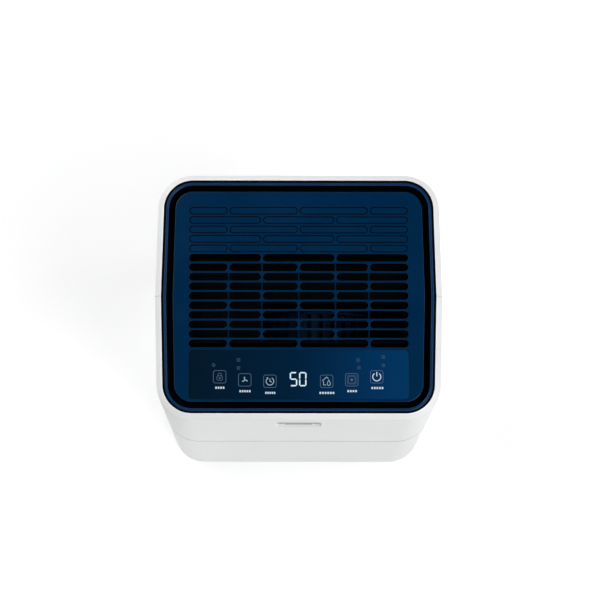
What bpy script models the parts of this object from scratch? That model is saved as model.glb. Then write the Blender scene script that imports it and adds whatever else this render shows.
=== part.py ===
"""A free-standing room dehumidifier, built piece by piece.

Metres, +Z up. The origin is on the floor at the middle of the footprint, the front faces -Y and the
air leaves through the top. Every size that can be chosen is a named value below, and every piece takes
its size and place from those values and a named clearance.
"""

import math

import bmesh
import bpy
from mathutils import Matrix, Vector

MM = 0.001

# ---- overall ----
WIDTH = 350 * MM  # across the side seams, where the plan is widest
DEPTH = 302 * MM
HEIGHT = 530 * MM
SIDE_TAPER = 0.0255  # each side runs in by this share of the distance from the side seam
CORNER_RADIUS = 43 * MM
CORNER_STEPS = 8
WALL = 2.8 * MM
PARTING_GAP = 1.0 * MM
TOUCH_GAP = 0.3 * MM  # between pieces that rest on or against each other

# ---- rolled rim of the two shells ----
RIM_WIDTH = 8.4 * MM
RIM_DROP = 7.0 * MM
RIM_LAND = 1.2 * MM
RIM_LIP_DEPTH = 18 * MM
RIM_LIP_WALL = 2.0 * MM

# ---- top: trim ring, moat, grille island ----
RING_GAP = 1.6 * MM
RING_WIDTH = 3.9 * MM
MOAT_WIDTH = 7.4 * MM
TOP_PLATE = 3.0 * MM
ISLAND_SKIRT = 2.6 * MM
TOP_STEP = 1.0 * MM  # the ring and the island stand this far below the rim
DECK_THICKNESS = 3.4 * MM
DECK_TOP = HEIGHT - RIM_LIP_DEPTH - 0.5 * MM

# ---- slots of the outlet grille ----
SLOT_ROWS = 15
BLIND_ROWS = 5
SLOT_PITCH = 11.73 * MM
SLOT_HEIGHT = 9.3 * MM
SLOT_FIELD = 267 * MM
SLOT_RIB = 3.0 * MM
FIRST_ROW_Y = 105.9 * MM
NARROW_RIB_X = 44.8 * MM  # ribs of the rows with three slots
WIDE_RIB_X = 85.6 * MM  # outer ribs of the rows with four slots
BLIND_DEPTH = 0.8 * MM
SLOT_END_STEPS = 4

# ---- control strip ----
OVERLAY_WIDTH = 266 * MM
OVERLAY_REAR_Y = -66.2 * MM
OVERLAY_FRONT_Y = -126.1 * MM
OVERLAY_THICKNESS = 1.0 * MM
OVERLAY_RADIUS = 5 * MM
DISPLAY_WIDTH = 24 * MM
DISPLAY_DEPTH = 20 * MM
DISPLAY_HEIGHT = 6 * MM
DISPLAY_Y = -98.5 * MM
BOARD_THICKNESS = 1.6 * MM

# ---- air outlet below the grille ----
OUTLET_WIDTH = 256 * MM
OUTLET_FRONT_Y = -54 * MM
OUTLET_REAR_Y = 44 * MM
GUARD_FRAME = 3 * MM
GUARD_RIB = 1.6 * MM
GUARD_HEIGHT = 8 * MM
PLENUM_DEPTH = 11 * MM
PLENUM_WALL = 2.5 * MM

# ---- blower ----
FAN_RADIUS = 76 * MM
FAN_INNER_RADIUS = 61 * MM
FAN_BLADES = 32
FAN_BLADE_THICKNESS = 1.3 * MM
FAN_BLADE_LEAN = math.radians(32)
FAN_WIDTH = 62 * MM
FAN_X = 30 * MM
FAN_Y = -8 * MM  # inlet side of the wheel
FAN_HUB_RADIUS = 13 * MM
FAN_SHAFT_RADIUS = 4 * MM
SHAFT_CLEARANCE = 0.5 * MM
SCROLL_CLEARANCE = 3 * MM
SCROLL_GROWTH = 19 * MM
SCROLL_WALL = 2.5 * MM
TONGUE_ANGLE = math.radians(162)
INLET_RADIUS = 58 * MM
MOTOR_RADIUS = 38 * MM
MOTOR_LENGTH = 48 * MM

# ---- base and tank bay ----
FLOOR_CLEARANCE = 12 * MM
BASE_TOP = 45.7 * MM
BASE_FLOOR = 3 * MM
BASE_CHAMFER = 3 * MM
UPPER_HEIGHT = 244 * MM  # from the parting line between tank and upper front shell to the top
DECK_LIFT = 1.5 * MM  # the shelf stands this far above the parting line
CHASSIS_THICKNESS = 3 * MM
CHASSIS_FRONT_Y = -83 * MM
BAY_WALL_Y = -9 * MM
BAY_WALL_THICKNESS = 2.5 * MM

# ---- tank ----
LID_SPACE = 14 * MM  # between the bucket's rim and the parting line
TANK_WALL = 2.5 * MM
TANK_REAR_Y = -12 * MM
LID_THICKNESS = 3.5 * MM
LID_HOLE_RADIUS = 12 * MM
LID_HOLE = (85 * MM, -40 * MM)
FINGER_NOTCH_LENGTH = 52 * MM
FINGER_NOTCH_DEPTH = 14 * MM
FINGER_NOTCH_Y = -40 * MM
HANDLE_SPAN = 150 * MM
HANDLE_REACH = 46 * MM
HANDLE_BAR_RADIUS = 4.2 * MM
HANDLE_PIVOT_Y = -92 * MM
HANDLE_PIVOT_LIFT = 9 * MM  # above the bucket's rim
PIVOT_PIN_RADIUS = 2 * MM
PIVOT_CLEARANCE = 0.6 * MM
CHUTE_WIDTH = 20 * MM
CHUTE_HEIGHT = 8 * MM
FLOAT_X = -90 * MM
FLOAT_PIVOT_Y = -26 * MM
FLOAT_PIVOT_DROP = 12 * MM  # below the bucket's rim
FLOAT_SIZE = (34 * MM, 40 * MM, 18 * MM)

# ---- rear intake ----
INTAKE_WIDTH = 252 * MM
INTAKE_LIFT = 9 * MM  # above the parting line
INTAKE_TOP_MARGIN = 23 * MM
INTAKE_CLEARANCE = 1.5 * MM
GRILLE_THICKNESS = 3 * MM
GRILLE_ROWS = 15
GRILLE_SLOT_HEIGHT = 7 * MM
GRILLE_BORDER = 12 * MM
FILTER_THICKNESS = 6 * MM
FILTER_BORDER = 7 * MM
FILTER_MESH_THICKNESS = 1.2 * MM

# ---- coils ----
COIL_WIDTH = 248 * MM
COIL_THICKNESS = 22 * MM
COIL_LIFT = 20 * MM  # above the parting line
COIL_TOP_MARGIN = 34 * MM
EVAPORATOR_Y = 116 * MM
CONDENSER_Y = 84 * MM
HAIRPINS = 5
HAIRPIN_TUBE = 3.2 * MM
END_PLATE = 1.5 * MM

# ---- compressor ----
COMPRESSOR_X = -20 * MM
COMPRESSOR_Y = 76 * MM
COMPRESSOR_RADIUS = 50 * MM
COMPRESSOR_HEADROOM = 78 * MM  # between its top and the parting line
FOOT_PLATE_Z = 30 * MM
FOOT_PLATE = 3 * MM
FOOT_RADIUS = 62 * MM
GROMMET_RADIUS = 7 * MM

# ---- castors ----
CASTOR_X = 120 * MM
CASTOR_Y = 105 * MM
WHEEL_RADIUS = 13 * MM
WHEEL_WIDTH = 12 * MM
CASTOR_TRAIL = 7 * MM
POCKET_RADIUS = 24.5 * MM
POCKET_TOP = 38 * MM
POCKET_WALL = 2.5 * MM
FORK_ARM = 2.4 * MM
FORK_SIDE_GAP = 0.7 * MM
CASTOR_STEM_RADIUS = 4 * MM
AXLE_RADIUS = 2 * MM

# ---- side grips, drain, screws, gland ----
GRIP_Y = 75 * MM
GRIP_LENGTH = 80 * MM
GRIP_DROP = 84 * MM  # from the top of the case to the middle of the grip
GRIP_HEIGHT = 32 * MM
GRIP_DEPTH = 26 * MM
GRIP_WALL = 2.5 * MM
DRAIN_X = 60 * MM
DRAIN_DROP = 24 * MM  # below the parting line
DRAIN_RADIUS = 8 * MM
DRAIN_WALL = 2.5 * MM
GLAND = (-95 * MM, 84 * MM)  # x, z
GLAND_RADIUS = 8 * MM
SCREW_X = 118 * MM
SCREW_LOW_Z = 70 * MM
SCREW_HIGH_DROP = 16 * MM  # below the parting line
SCREW_HEAD_RADIUS = 4.2 * MM
SCREW_RECESS = 0.6 * MM

# ---- finger scoop in the front ----
SCOOP_WIDTH = 56 * MM
SCOOP_DROP = 34 * MM  # from the top of the case to the lip
SCOOP_HEIGHT = 46 * MM
SCOOP_DEPTH = 11 * MM
SCOOP_BACKING = 3 * MM

# ---- sizes that follow from the ones above ----
REAR_Y = DEPTH / 2
SEAM_Z = HEIGHT - UPPER_HEIGHT
DECK_Z = SEAM_Z + DECK_LIFT
TANK_TOP = SEAM_Z - LID_SPACE
HANDLE_PIVOT = (HANDLE_PIVOT_Y, TANK_TOP + HANDLE_PIVOT_LIFT)
FLOAT_PIVOT = (FLOAT_PIVOT_Y, TANK_TOP - FLOAT_PIVOT_DROP)
INTAKE_BOTTOM = SEAM_Z + INTAKE_LIFT
INTAKE_TOP = HEIGHT - INTAKE_TOP_MARGIN
GRILLE_HINGE = (REAR_Y - GRILLE_THICKNESS / 2, INTAKE_BOTTOM + 3.5 * MM)
COIL_BOTTOM = SEAM_Z + COIL_LIFT
COIL_HEIGHT = HEIGHT - COIL_TOP_MARGIN - COIL_BOTTOM
COMPRESSOR_HEIGHT = SEAM_Z - COMPRESSOR_HEADROOM - FOOT_PLATE_Z
GRIP_Z = HEIGHT - GRIP_DROP
DRAIN = (DRAIN_X, SEAM_Z - DRAIN_DROP)
SCREW_LEVELS = (SCREW_LOW_Z, SEAM_Z - SCREW_HIGH_DROP)
SCOOP_TOP = HEIGHT - SCOOP_DROP
RING_INSET = RIM_WIDTH + RING_GAP
MOAT_INSET = RING_INSET + RING_WIDTH
ISLAND_INSET = MOAT_INSET + MOAT_WIDTH
TOP_Z = HEIGHT - TOP_STEP
PLATE_UNDER = TOP_Z - TOP_PLATE
DECK_UNDER = DECK_TOP - DECK_THICKNESS
PLENUM_TOP = DECK_UNDER - TOUCH_GAP
PLENUM_FLOOR = PLENUM_TOP - PLENUM_DEPTH
FAN_MOTOR_SIDE = FAN_Y - FAN_WIDTH
SCROLL_REAR_Y = FAN_Y + SCROLL_CLEARANCE + SCROLL_WALL
SCROLL_FRONT_Y = FAN_MOTOR_SIDE - SCROLL_CLEARANCE - SCROLL_WALL
SCROLL_TOP = PLENUM_FLOOR - TOUCH_GAP
SCROLL_START = FAN_RADIUS + SCROLL_CLEARANCE
CHASSIS_TOP = DECK_Z + CHASSIS_THICKNESS
FAN_Z = CHASSIS_TOP + SCROLL_START + SCROLL_GROWTH * 0.66 + SCROLL_WALL + TOUCH_GAP
FAN_CENTRE = (FAN_X, 0, FAN_Z)
DUCT_LEFT = FAN_X + SCROLL_START * math.cos(TONGUE_ANGLE)
DUCT_RIGHT = FAN_X + SCROLL_START + SCROLL_GROWTH
BAY_REAR_Y = BAY_WALL_Y + BAY_WALL_THICKNESS + TOUCH_GAP
TRAY_FLOOR = FLOOR_CLEARANCE + BASE_FLOOR
POCKET_CEILING = POCKET_TOP + POCKET_WALL


# ======================================================================== tools
def clear_scene():
    for thing in list(bpy.data.objects):
        bpy.data.objects.remove(thing)


def finish_of(name, colour, roughness, metallic=0.0):
    """A Principled material of one colour."""
    made = bpy.data.materials.get(name) or bpy.data.materials.new(name)
    made.use_nodes = True
    shader = made.node_tree.nodes["Principled BSDF"]
    shader.inputs["Base Color"].default_value = (*colour, 1.0)
    shader.inputs["Roughness"].default_value = roughness
    shader.inputs["Metallic"].default_value = metallic
    return made


def white_plastic():
    return finish_of("white_plastic", (0.84, 0.84, 0.85), 0.35)


def navy_plastic():
    return finish_of("navy_plastic", (0.003, 0.022, 0.070), 0.22)


def black_plastic():
    return finish_of("black_plastic", (0.008, 0.008, 0.009), 0.5)


def clear_smoke_plastic():
    return finish_of("smoke_plastic", (0.55, 0.60, 0.64), 0.2)


def dark_metal():
    return finish_of("dark_metal", (0.03, 0.03, 0.035), 0.45, 0.3)


def steel():
    return finish_of("steel", (0.55, 0.56, 0.57), 0.35, 1.0)


def aluminium():
    return finish_of("aluminium", (0.75, 0.76, 0.77), 0.4, 1.0)


def copper():
    return finish_of("copper", (0.78, 0.38, 0.22), 0.35, 1.0)


def rubber():
    return finish_of("rubber", (0.015, 0.015, 0.015), 0.8)


def circuit_green():
    return finish_of("circuit_green", (0.01, 0.10, 0.04), 0.5)


def put(name, mesh_maker, material, cutter=False):
    """Turns a bmesh into a named object, with its normals out and its round parts shaded smooth."""
    bmesh.ops.remove_doubles(mesh_maker, verts=mesh_maker.verts, dist=1e-6)
    bmesh.ops.recalc_face_normals(mesh_maker, faces=mesh_maker.faces)
    mesh = bpy.data.meshes.new(name)
    mesh_maker.to_mesh(mesh)
    mesh_maker.free()
    mesh.shade_smooth()
    mesh.set_sharp_from_angle(angle=math.radians(30))
    thing = bpy.data.objects.new(name, mesh)
    bpy.context.scene.collection.objects.link(thing)
    if material is not None:
        mesh.materials.append(material)
    if cutter:
        thing.hide_render = True
        thing.display_type = "WIRE"
    return thing


def boolean(thing, mesh_maker, operation):
    """Adds a live Boolean to an object, with the other shape kept as a hidden helper."""
    helper = put(f"{thing.name}_{operation.lower()}_{len(thing.modifiers)}", mesh_maker, None, cutter=True)
    step = thing.modifiers.new(operation.title(), "BOOLEAN")
    step.operation = operation
    step.solver = "EXACT"
    step.object = helper
    return helper


def cut(thing, mesh_maker):
    return boolean(thing, mesh_maker, "DIFFERENCE")


def fuse(thing, mesh_maker):
    return boolean(thing, mesh_maker, "UNION")


def keep_inside(thing, mesh_maker):
    return boolean(thing, mesh_maker, "INTERSECT")


def loft(loops, closed=False):
    """A solid through equal closed loops of points, capped at its ends unless it closes on itself."""
    made = bmesh.new()
    rings = [[made.verts.new(point) for point in loop] for loop in loops]
    count = len(rings[0])
    following = rings[1:] + rings[:1] if closed else rings[1:]
    for ring, after in zip(rings, following):
        for i in range(count):
            j = (i + 1) % count
            made.faces.new((ring[i], ring[j], after[j], after[i]))
    if not closed:
        made.faces.new(rings[0])
        made.faces.new(rings[-1])
    return made


def box(low, high):
    corners = [(low[0], low[1]), (high[0], low[1]), (high[0], high[1]), (low[0], high[1])]
    return prism(corners, low[2], high[2])


def prism(outline, bottom, top):
    """A flat outline raised from one height to another."""
    return loft([[(x, y, z) for x, y in outline] for z in (bottom, top)])


def merged(*makers):
    """Several separate solids in one bmesh, for a helper that does many cuts or joins at once."""
    whole = bmesh.new()
    for maker in makers:
        part_mesh = bpy.data.meshes.new("part")
        bmesh.ops.recalc_face_normals(maker, faces=maker.faces)
        maker.to_mesh(part_mesh)
        maker.free()
        whole.from_mesh(part_mesh)
        bpy.data.meshes.remove(part_mesh)
    return whole


def moved(maker, matrix):
    bmesh.ops.transform(maker, matrix=matrix, verts=maker.verts)
    return maker


AXIS_TURNS = {
    "Z": Matrix.Identity(4),
    "X": Matrix.Rotation(math.radians(90), 4, "Y"),
    "Y": Matrix.Rotation(math.radians(-90), 4, "X"),
}


def turned(profile, centre, axis="Z", steps=24):
    """A solid of revolution. The profile is (radius, height) pairs from the bottom up, first and last on the axis
    or closed by a flat end. The axis is X, Y or Z, and height runs along it from the centre."""
    loops = []
    for radius, height in profile:
        ring = []
        for i in range(steps):
            angle = 2 * math.pi * (i + 0.5) / steps
            ring.append((radius * math.cos(angle), radius * math.sin(angle), height))
        loops.append(ring)
    return moved(loft(loops), Matrix.Translation(centre) @ AXIS_TURNS[axis])


def drum(radius, start, end, centre, axis="Z", steps=24):
    """A plain cylinder along an axis, from start to end as counted from the centre."""
    return turned([(radius, start), (radius, end)], centre, axis, steps)


def tube_ring(outer, inner, start, end, centre, axis="Z", steps=24):
    """A ring with a rectangular section."""
    section = [(outer, start), (outer, end), (inner, end), (inner, start)]
    loops = []
    for i in range(steps):
        angle = 2 * math.pi * (i + 0.5) / steps
        loops.append([(r * math.cos(angle), r * math.sin(angle), h) for r, h in section])
    return moved(loft(loops, closed=True), Matrix.Translation(centre) @ AXIS_TURNS[axis])


def arc(centre, radius, start, end, steps):
    """Points on an arc, ends included, angles in radians."""
    points = []
    for i in range(steps + 1):
        angle = start + (end - start) * i / steps
        points.append((centre[0] + radius * math.cos(angle), centre[1] + radius * math.sin(angle)))
    return points


def rounded_rectangle(x0, y0, x1, y1, radius, steps=4):
    quarter = math.pi / 2
    points = arc((x1 - radius, y1 - radius), radius, 0, quarter, steps)
    points += arc((x0 + radius, y1 - radius), radius, quarter, 2 * quarter, steps)
    points += arc((x0 + radius, y0 + radius), radius, 2 * quarter, 3 * quarter, steps)
    points += arc((x1 - radius, y0 + radius), radius, 3 * quarter, 4 * quarter, steps)
    return points


def pipe(name, points, radius, material, rounding=12 * MM):
    """A round tube along straight runs with rounded bends, as a bevelled curve with filled caps."""
    route = [Vector(points[0])]
    for before, corner, after in zip(points, points[1:], points[2:]):
        before, corner, after = Vector(before), Vector(corner), Vector(after)
        reach = min(rounding, (corner - before).length * 0.45, (after - corner).length * 0.45)
        start = corner + (before - corner).normalized() * reach
        end = corner + (after - corner).normalized() * reach
        for i in range(5):
            t = i / 4
            route.append(start * (1 - t) ** 2 + corner * 2 * t * (1 - t) + end * t ** 2)
    route.append(Vector(points[-1]))
    curve = bpy.data.curves.new(name, "CURVE")
    curve.dimensions = "3D"
    spline = curve.splines.new("POLY")
    spline.points.add(len(route) - 1)
    for place, point in zip(spline.points, route):
        place.co = (*point, 1.0)
    curve.bevel_depth = radius
    curve.bevel_resolution = 2
    curve.use_fill_caps = True
    curve.materials.append(material)
    thing = bpy.data.objects.new(name, curve)
    bpy.context.scene.collection.objects.link(thing)
    return thing


# ======================================================================== plan of the casing
def quarter_plan(inset, seam):
    """One quarter of the plan, offset inwards: from the side seam, along the tapering side, round the corner."""
    slant = math.sqrt(1 + SIDE_TAPER ** 2)
    centre_y = DEPTH / 2 - CORNER_RADIUS
    centre_x = WIDTH / 2 - SIDE_TAPER * centre_y - CORNER_RADIUS * slant
    start = (WIDTH / 2 - SIDE_TAPER * seam - inset * slant, seam)
    first_angle = math.atan(SIDE_TAPER)
    return [start] + arc((centre_x, centre_y), CORNER_RADIUS - inset, first_angle, math.pi / 2, CORNER_STEPS)


def half_plan(inset, seam, rear):
    """Half of the plan as an open line, from the seam on the +X side round to the seam on the -X side."""
    right = quarter_plan(inset, seam)
    left = [(-x, y) for x, y in reversed(right)]
    sign = 1 if rear else -1
    return [(x, sign * y) for x, y in right + left]


def full_plan(inset):
    """The whole plan as a closed outline, with a vertex at each side seam."""
    rear = half_plan(inset, 0, rear=True)
    front = half_plan(inset, 0, rear=False)
    return rear + front[-2:0:-1]


def wall_round_half(section, seam, rear):
    """A wall that follows half of the plan. The section is a closed outline of (inset, height) pairs."""
    lines = [half_plan(inset, seam, rear) for inset, _ in section]
    loops = []
    for i in range(len(lines[0])):
        loops.append([(*line[i], height) for line, (_, height) in zip(lines, section)])
    return loft(loops)


def wall_all_round(section):
    """A wall that follows the whole plan."""
    lines = [full_plan(inset) for inset, _ in section]
    loops = []
    for i in range(len(lines[0])):
        loops.append([(*line[i], height) for line, (_, height) in zip(lines, section)])
    return loft(loops, closed=True)


def stacked_plans(levels):
    """A solid through the whole plan at several (inset, height) levels."""
    return loft([[(x, y, height) for x, y in full_plan(inset)] for inset, height in levels])


def rim_section(bottom):
    """Section of an outer shell: the wall, the sloping rim with its flat land, and the lip turned down inside."""
    shoulder = HEIGHT - RIM_DROP
    lip_bottom = HEIGHT - RIM_LIP_DEPTH
    inner_lip = RIM_WIDTH - RIM_LIP_WALL
    return [
        (0, bottom),
        (0, shoulder - 1.0 * MM),
        (0.35 * MM, shoulder - 0.2 * MM),
        (1.1 * MM, shoulder + 0.5 * MM),
        (RIM_WIDTH - RIM_LAND - 0.4 * MM, HEIGHT - 0.3 * MM),
        (RIM_WIDTH - RIM_LAND, HEIGHT),
        (RIM_WIDTH, HEIGHT),
        (RIM_WIDTH, lip_bottom),
        (inner_lip, lip_bottom),
        (inner_lip, HEIGHT - WALL),
        (WALL, shoulder - 1.6 * MM),
        (WALL, bottom),
    ]


# ======================================================================== casing
def scoop_shape():
    """The finger scoop: deepest under its lip, running out to the front face at its lower edge."""
    across, down = 12, 6
    front = -REAR_Y - 2 * MM
    loops = []
    for i in range(across + 1):
        side = -1 + 2 * i / across
        fullness = max(0.0, 1 - abs(side) ** 3.2) ** 0.5
        x = side * SCOOP_WIDTH / 2
        depth = SCOOP_DEPTH * (0.15 + 0.85 * fullness)
        height = SCOOP_HEIGHT * (0.45 + 0.55 * fullness)
        loop = [(x, front, SCOOP_TOP), (x, front, SCOOP_TOP - height)]
        for j in range(down):
            angle = math.pi / 2 * j / (down - 1)
            y = -REAR_Y + depth * math.sin(angle) ** 0.8
            z = SCOOP_TOP - height * math.cos(angle)
            loop.append((x, y, min(z, SCOOP_TOP)))
        loops.append(loop)
    return loft(loops)


def make_front_shell():
    """Upper front half of the casing, with the finger scoop below the rim."""
    bottom = SEAM_Z + PARTING_GAP / 2
    shell = put("front_shell", wall_round_half(rim_section(bottom), PARTING_GAP / 2, rear=False), white_plastic())
    half = SCOOP_WIDTH / 2 + SCOOP_BACKING
    low = (-half, -REAR_Y + WALL / 2, SCOOP_TOP - SCOOP_HEIGHT)
    high = (half, -REAR_Y + SCOOP_DEPTH + SCOOP_BACKING, SCOOP_TOP + SCOOP_BACKING)
    fuse(shell, box(low, high))
    cut(shell, scoop_shape())


def grip_side_box(side, grow, x_inner):
    """The block that a side grip fills, grown by a clearance, from its inner end out through the side wall."""
    x_low, x_high = sorted((side * x_inner, side * WIDTH * 0.55))
    half_y, half_z = GRIP_LENGTH / 2 + grow, GRIP_HEIGHT / 2 + grow
    return box((x_low, GRIP_Y - half_y, GRIP_Z - half_z), (x_high, GRIP_Y + half_y, GRIP_Z + half_z))


def make_rear_shell():
    """Rear half of the casing, full height, with openings for the intake, grips, drain, gland and screws."""
    bottom = BASE_TOP + TOUCH_GAP
    shell = put("rear_shell", wall_round_half(rim_section(bottom), PARTING_GAP / 2, rear=True), white_plastic())
    through = (REAR_Y - 3 * WALL, REAR_Y + WALL)
    half = INTAKE_WIDTH / 2
    cutters = [box((-half, through[0], INTAKE_BOTTOM), (half, through[1], INTAKE_TOP))]
    for side in (-1, 1):
        cutters.append(grip_side_box(side, TOUCH_GAP, WIDTH / 2 - 4 * WALL))
        for level in SCREW_LEVELS:
            centre = (side * SCREW_X, 0, level)
            cutters.append(drum(SCREW_HEAD_RADIUS + TOUCH_GAP, *through, centre, "Y", 16))
    for place, radius in ((DRAIN, DRAIN_RADIUS + DRAIN_WALL), (GLAND, GLAND_RADIUS)):
        cutters.append(drum(radius + TOUCH_GAP, *through, (place[0], 0, place[1]), "Y"))
    cut(shell, merged(*cutters))


def make_base_tray():
    """Bottom tray: skirt, floor, castor pockets and the rails that the tank slides on."""
    levels = [
        (BASE_CHAMFER, FLOOR_CLEARANCE),
        (0, FLOOR_CLEARANCE + BASE_CHAMFER),
        (0, BASE_TOP),
    ]
    tray = put("base_tray", stacked_plans(levels), white_plastic())
    floor = TRAY_FLOOR
    cut(tray, stacked_plans([(WALL + BASE_CHAMFER / 2, floor), (WALL + BASE_CHAMFER / 2, BASE_TOP + WALL)]))
    bosses, pockets, stems = [], [], []
    for x in (-CASTOR_X, CASTOR_X):
        for y in (-CASTOR_Y, CASTOR_Y):
            place = (x, y, 0)
            bosses.append(drum(POCKET_RADIUS + POCKET_WALL, FLOOR_CLEARANCE + 1 * MM, POCKET_CEILING, place))
            pockets.append(drum(POCKET_RADIUS, 0, POCKET_TOP, place))
            stems.append(drum(CASTOR_STEM_RADIUS + SHAFT_CLEARANCE, 0, BASE_TOP, place, steps=16))
    rails = []
    for x in (-60 * MM, 60 * MM):
        low = (x - 4 * MM, -REAR_Y + 12 * MM, floor - 1 * MM)
        rails.append(box(low, (x + 4 * MM, TANK_REAR_Y, BASE_TOP)))
    fuse(tray, merged(*bosses))
    fuse(tray, merged(*rails))
    cut(tray, merged(*pockets))
    cut(tray, merged(*stems))


def make_side_grips():
    """Recessed hand grips: a cup let into each side wall, flush with it."""
    inner = WIDTH / 2 - GRIP_DEPTH
    for side, name in ((-1, "side_grip_left"), (1, "side_grip_right")):
        cup = put(name, grip_side_box(side, 0, inner), white_plastic())
        keep_inside(cup, stacked_plans([(0, GRIP_Z - GRIP_HEIGHT), (0, GRIP_Z + GRIP_HEIGHT)]))
        cut(cup, grip_side_box(side, -GRIP_WALL, inner + GRIP_WALL))


# ======================================================================== top
def stadium(x0, x1, y, steps=SLOT_END_STEPS):
    """Outline of a slot with round ends."""
    radius = SLOT_HEIGHT / 2
    right = arc((x1 - radius, y), radius, -math.pi / 2, math.pi / 2, steps)
    left = arc((x0 + radius, y), radius, math.pi / 2, 3 * math.pi / 2, steps)
    return right + left


def slot_outlines(row):
    """The slots of one row. Odd rows have four, even rows three, as in a brick wall."""
    y = FIRST_ROW_Y - row * SLOT_PITCH
    ribs = (-WIDE_RIB_X, 0, WIDE_RIB_X) if row % 2 == 0 else (-NARROW_RIB_X, NARROW_RIB_X)
    starts = [-SLOT_FIELD / 2] + [x + SLOT_RIB / 2 for x in ribs]
    ends = [x - SLOT_RIB / 2 for x in ribs] + [SLOT_FIELD / 2]
    return [stadium(x0, x1, y) for x0, x1 in zip(starts, ends)]


def make_trim_ring():
    """The narrow raised ring inside the rim."""
    bottom = DECK_TOP + TOUCH_GAP
    edge = 0.6 * MM
    section = [
        (RING_INSET, bottom),
        (RING_INSET, TOP_Z - edge),
        (RING_INSET + edge, TOP_Z),
        (MOAT_INSET - edge, TOP_Z),
        (MOAT_INSET, TOP_Z - edge),
        (MOAT_INSET, bottom),
    ]
    put("trim_ring", wall_all_round(section), navy_plastic())


def make_outlet_grille():
    """The island: a skirted plate with open slots over the outlet and blind ones behind it."""
    bottom = DECK_TOP + TOUCH_GAP
    edge = 0.8 * MM
    levels = [(ISLAND_INSET, bottom), (ISLAND_INSET, TOP_Z - edge), (ISLAND_INSET + edge, TOP_Z)]
    island = put("outlet_grille", stacked_plans(levels), navy_plastic())
    inner = ISLAND_INSET + ISLAND_SKIRT
    cut(island, stacked_plans([(inner, bottom - ISLAND_SKIRT), (inner, PLATE_UNDER)]))
    slots = []
    for row in range(SLOT_ROWS):
        bottom_of_cut = TOP_Z - BLIND_DEPTH if row < BLIND_ROWS else PLATE_UNDER - TOP_PLATE
        for outline in slot_outlines(row):
            slots.append(prism(outline, bottom_of_cut, TOP_Z + TOP_PLATE))
    cut(island, merged(*slots))
    half = OVERLAY_WIDTH / 2 + TOUCH_GAP
    outline = rounded_rectangle(
        -half, OVERLAY_FRONT_Y - TOUCH_GAP, half, OVERLAY_REAR_Y + TOUCH_GAP, OVERLAY_RADIUS
    )
    cut(island, prism(outline, TOP_Z - OVERLAY_THICKNESS - TOUCH_GAP, TOP_Z + TOP_PLATE))
    low = (-DISPLAY_WIDTH / 2, DISPLAY_Y - DISPLAY_DEPTH / 2, PLATE_UNDER - TOP_PLATE)
    high = (DISPLAY_WIDTH / 2, DISPLAY_Y + DISPLAY_DEPTH / 2, TOP_Z + TOP_PLATE)
    cut(island, box(low, high))


def make_controls():
    """Touch overlay in its pocket, the board below the plate and the two-digit display on the board."""
    half = OVERLAY_WIDTH / 2
    outline = rounded_rectangle(-half, OVERLAY_FRONT_Y, half, OVERLAY_REAR_Y, OVERLAY_RADIUS)
    put("control_overlay", prism(outline, TOP_Z - OVERLAY_THICKNESS, TOP_Z), navy_plastic())
    module_top = PLATE_UNDER + TOP_PLATE - OVERLAY_THICKNESS - 2 * TOUCH_GAP
    module_bottom = module_top - DISPLAY_HEIGHT
    shrink = TOUCH_GAP
    low = (-DISPLAY_WIDTH / 2 + shrink, DISPLAY_Y - DISPLAY_DEPTH / 2 + shrink, module_bottom)
    high = (DISPLAY_WIDTH / 2 - shrink, DISPLAY_Y + DISPLAY_DEPTH / 2 - shrink, module_top)
    put("display_module", box(low, high), black_plastic())
    board_top = module_bottom - TOUCH_GAP
    margin = 8 * MM
    low = (-half + margin, OVERLAY_FRONT_Y + margin / 2, board_top - BOARD_THICKNESS)
    high = (half - margin, OVERLAY_REAR_Y - margin / 2, board_top)
    put("control_board", box(low, high), circuit_green())


def make_top_deck():
    """Black plate that closes the top of the casing below the moat, open over the blower."""
    edge = WALL + 1.2 * MM
    deck = put("top_deck", stacked_plans([(edge, DECK_UNDER), (edge, DECK_TOP)]), black_plastic())
    half = OUTLET_WIDTH / 2
    low = (-half, OUTLET_FRONT_Y, DECK_UNDER - WALL)
    cut(deck, box(low, (half, OUTLET_REAR_Y, DECK_TOP + WALL)))


def make_outlet_guard():
    """Thin upright ribs under the open slots, in a frame that sits on the deck round the outlet."""
    bottom = DECK_TOP + TOUCH_GAP
    top = bottom + GUARD_HEIGHT
    half = OUTLET_WIDTH / 2
    low = (-half - GUARD_FRAME, OUTLET_FRONT_Y - GUARD_FRAME, bottom)
    guard = put("outlet_guard", box(low, (half + GUARD_FRAME, OUTLET_REAR_Y + GUARD_FRAME, top)), black_plastic())
    xs = (-WIDE_RIB_X, -NARROW_RIB_X, 0, NARROW_RIB_X, WIDE_RIB_X)
    starts = [-half] + [x + GUARD_RIB / 2 for x in xs]
    ends = [x - GUARD_RIB / 2 for x in xs] + [half]
    windows = []
    for x0, x1 in zip(starts, ends):
        windows.append(box((x0, OUTLET_FRONT_Y, bottom - WALL), (x1, OUTLET_REAR_Y, top + WALL)))
    cut(guard, merged(*windows))


def make_outlet_plenum():
    """Shallow tray between the blower and the deck, which spreads the air under the slots."""
    half = OUTLET_WIDTH / 2
    front, rear = SCROLL_FRONT_Y, OUTLET_REAR_Y + PLENUM_WALL
    low = (-half - PLENUM_WALL, front - PLENUM_WALL, PLENUM_FLOOR)
    plenum = put("outlet_plenum", box(low, (half + PLENUM_WALL, rear, PLENUM_TOP)), black_plastic())
    inside = (-half, front, PLENUM_FLOOR + PLENUM_WALL)
    cut(plenum, box(inside, (half, rear - PLENUM_WALL, PLENUM_TOP + WALL)))
    low = (DUCT_LEFT, SCROLL_FRONT_Y + SCROLL_WALL, PLENUM_FLOOR - WALL)
    cut(plenum, box(low, (DUCT_RIGHT, SCROLL_REAR_Y - SCROLL_WALL, PLENUM_TOP + WALL)))


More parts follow.
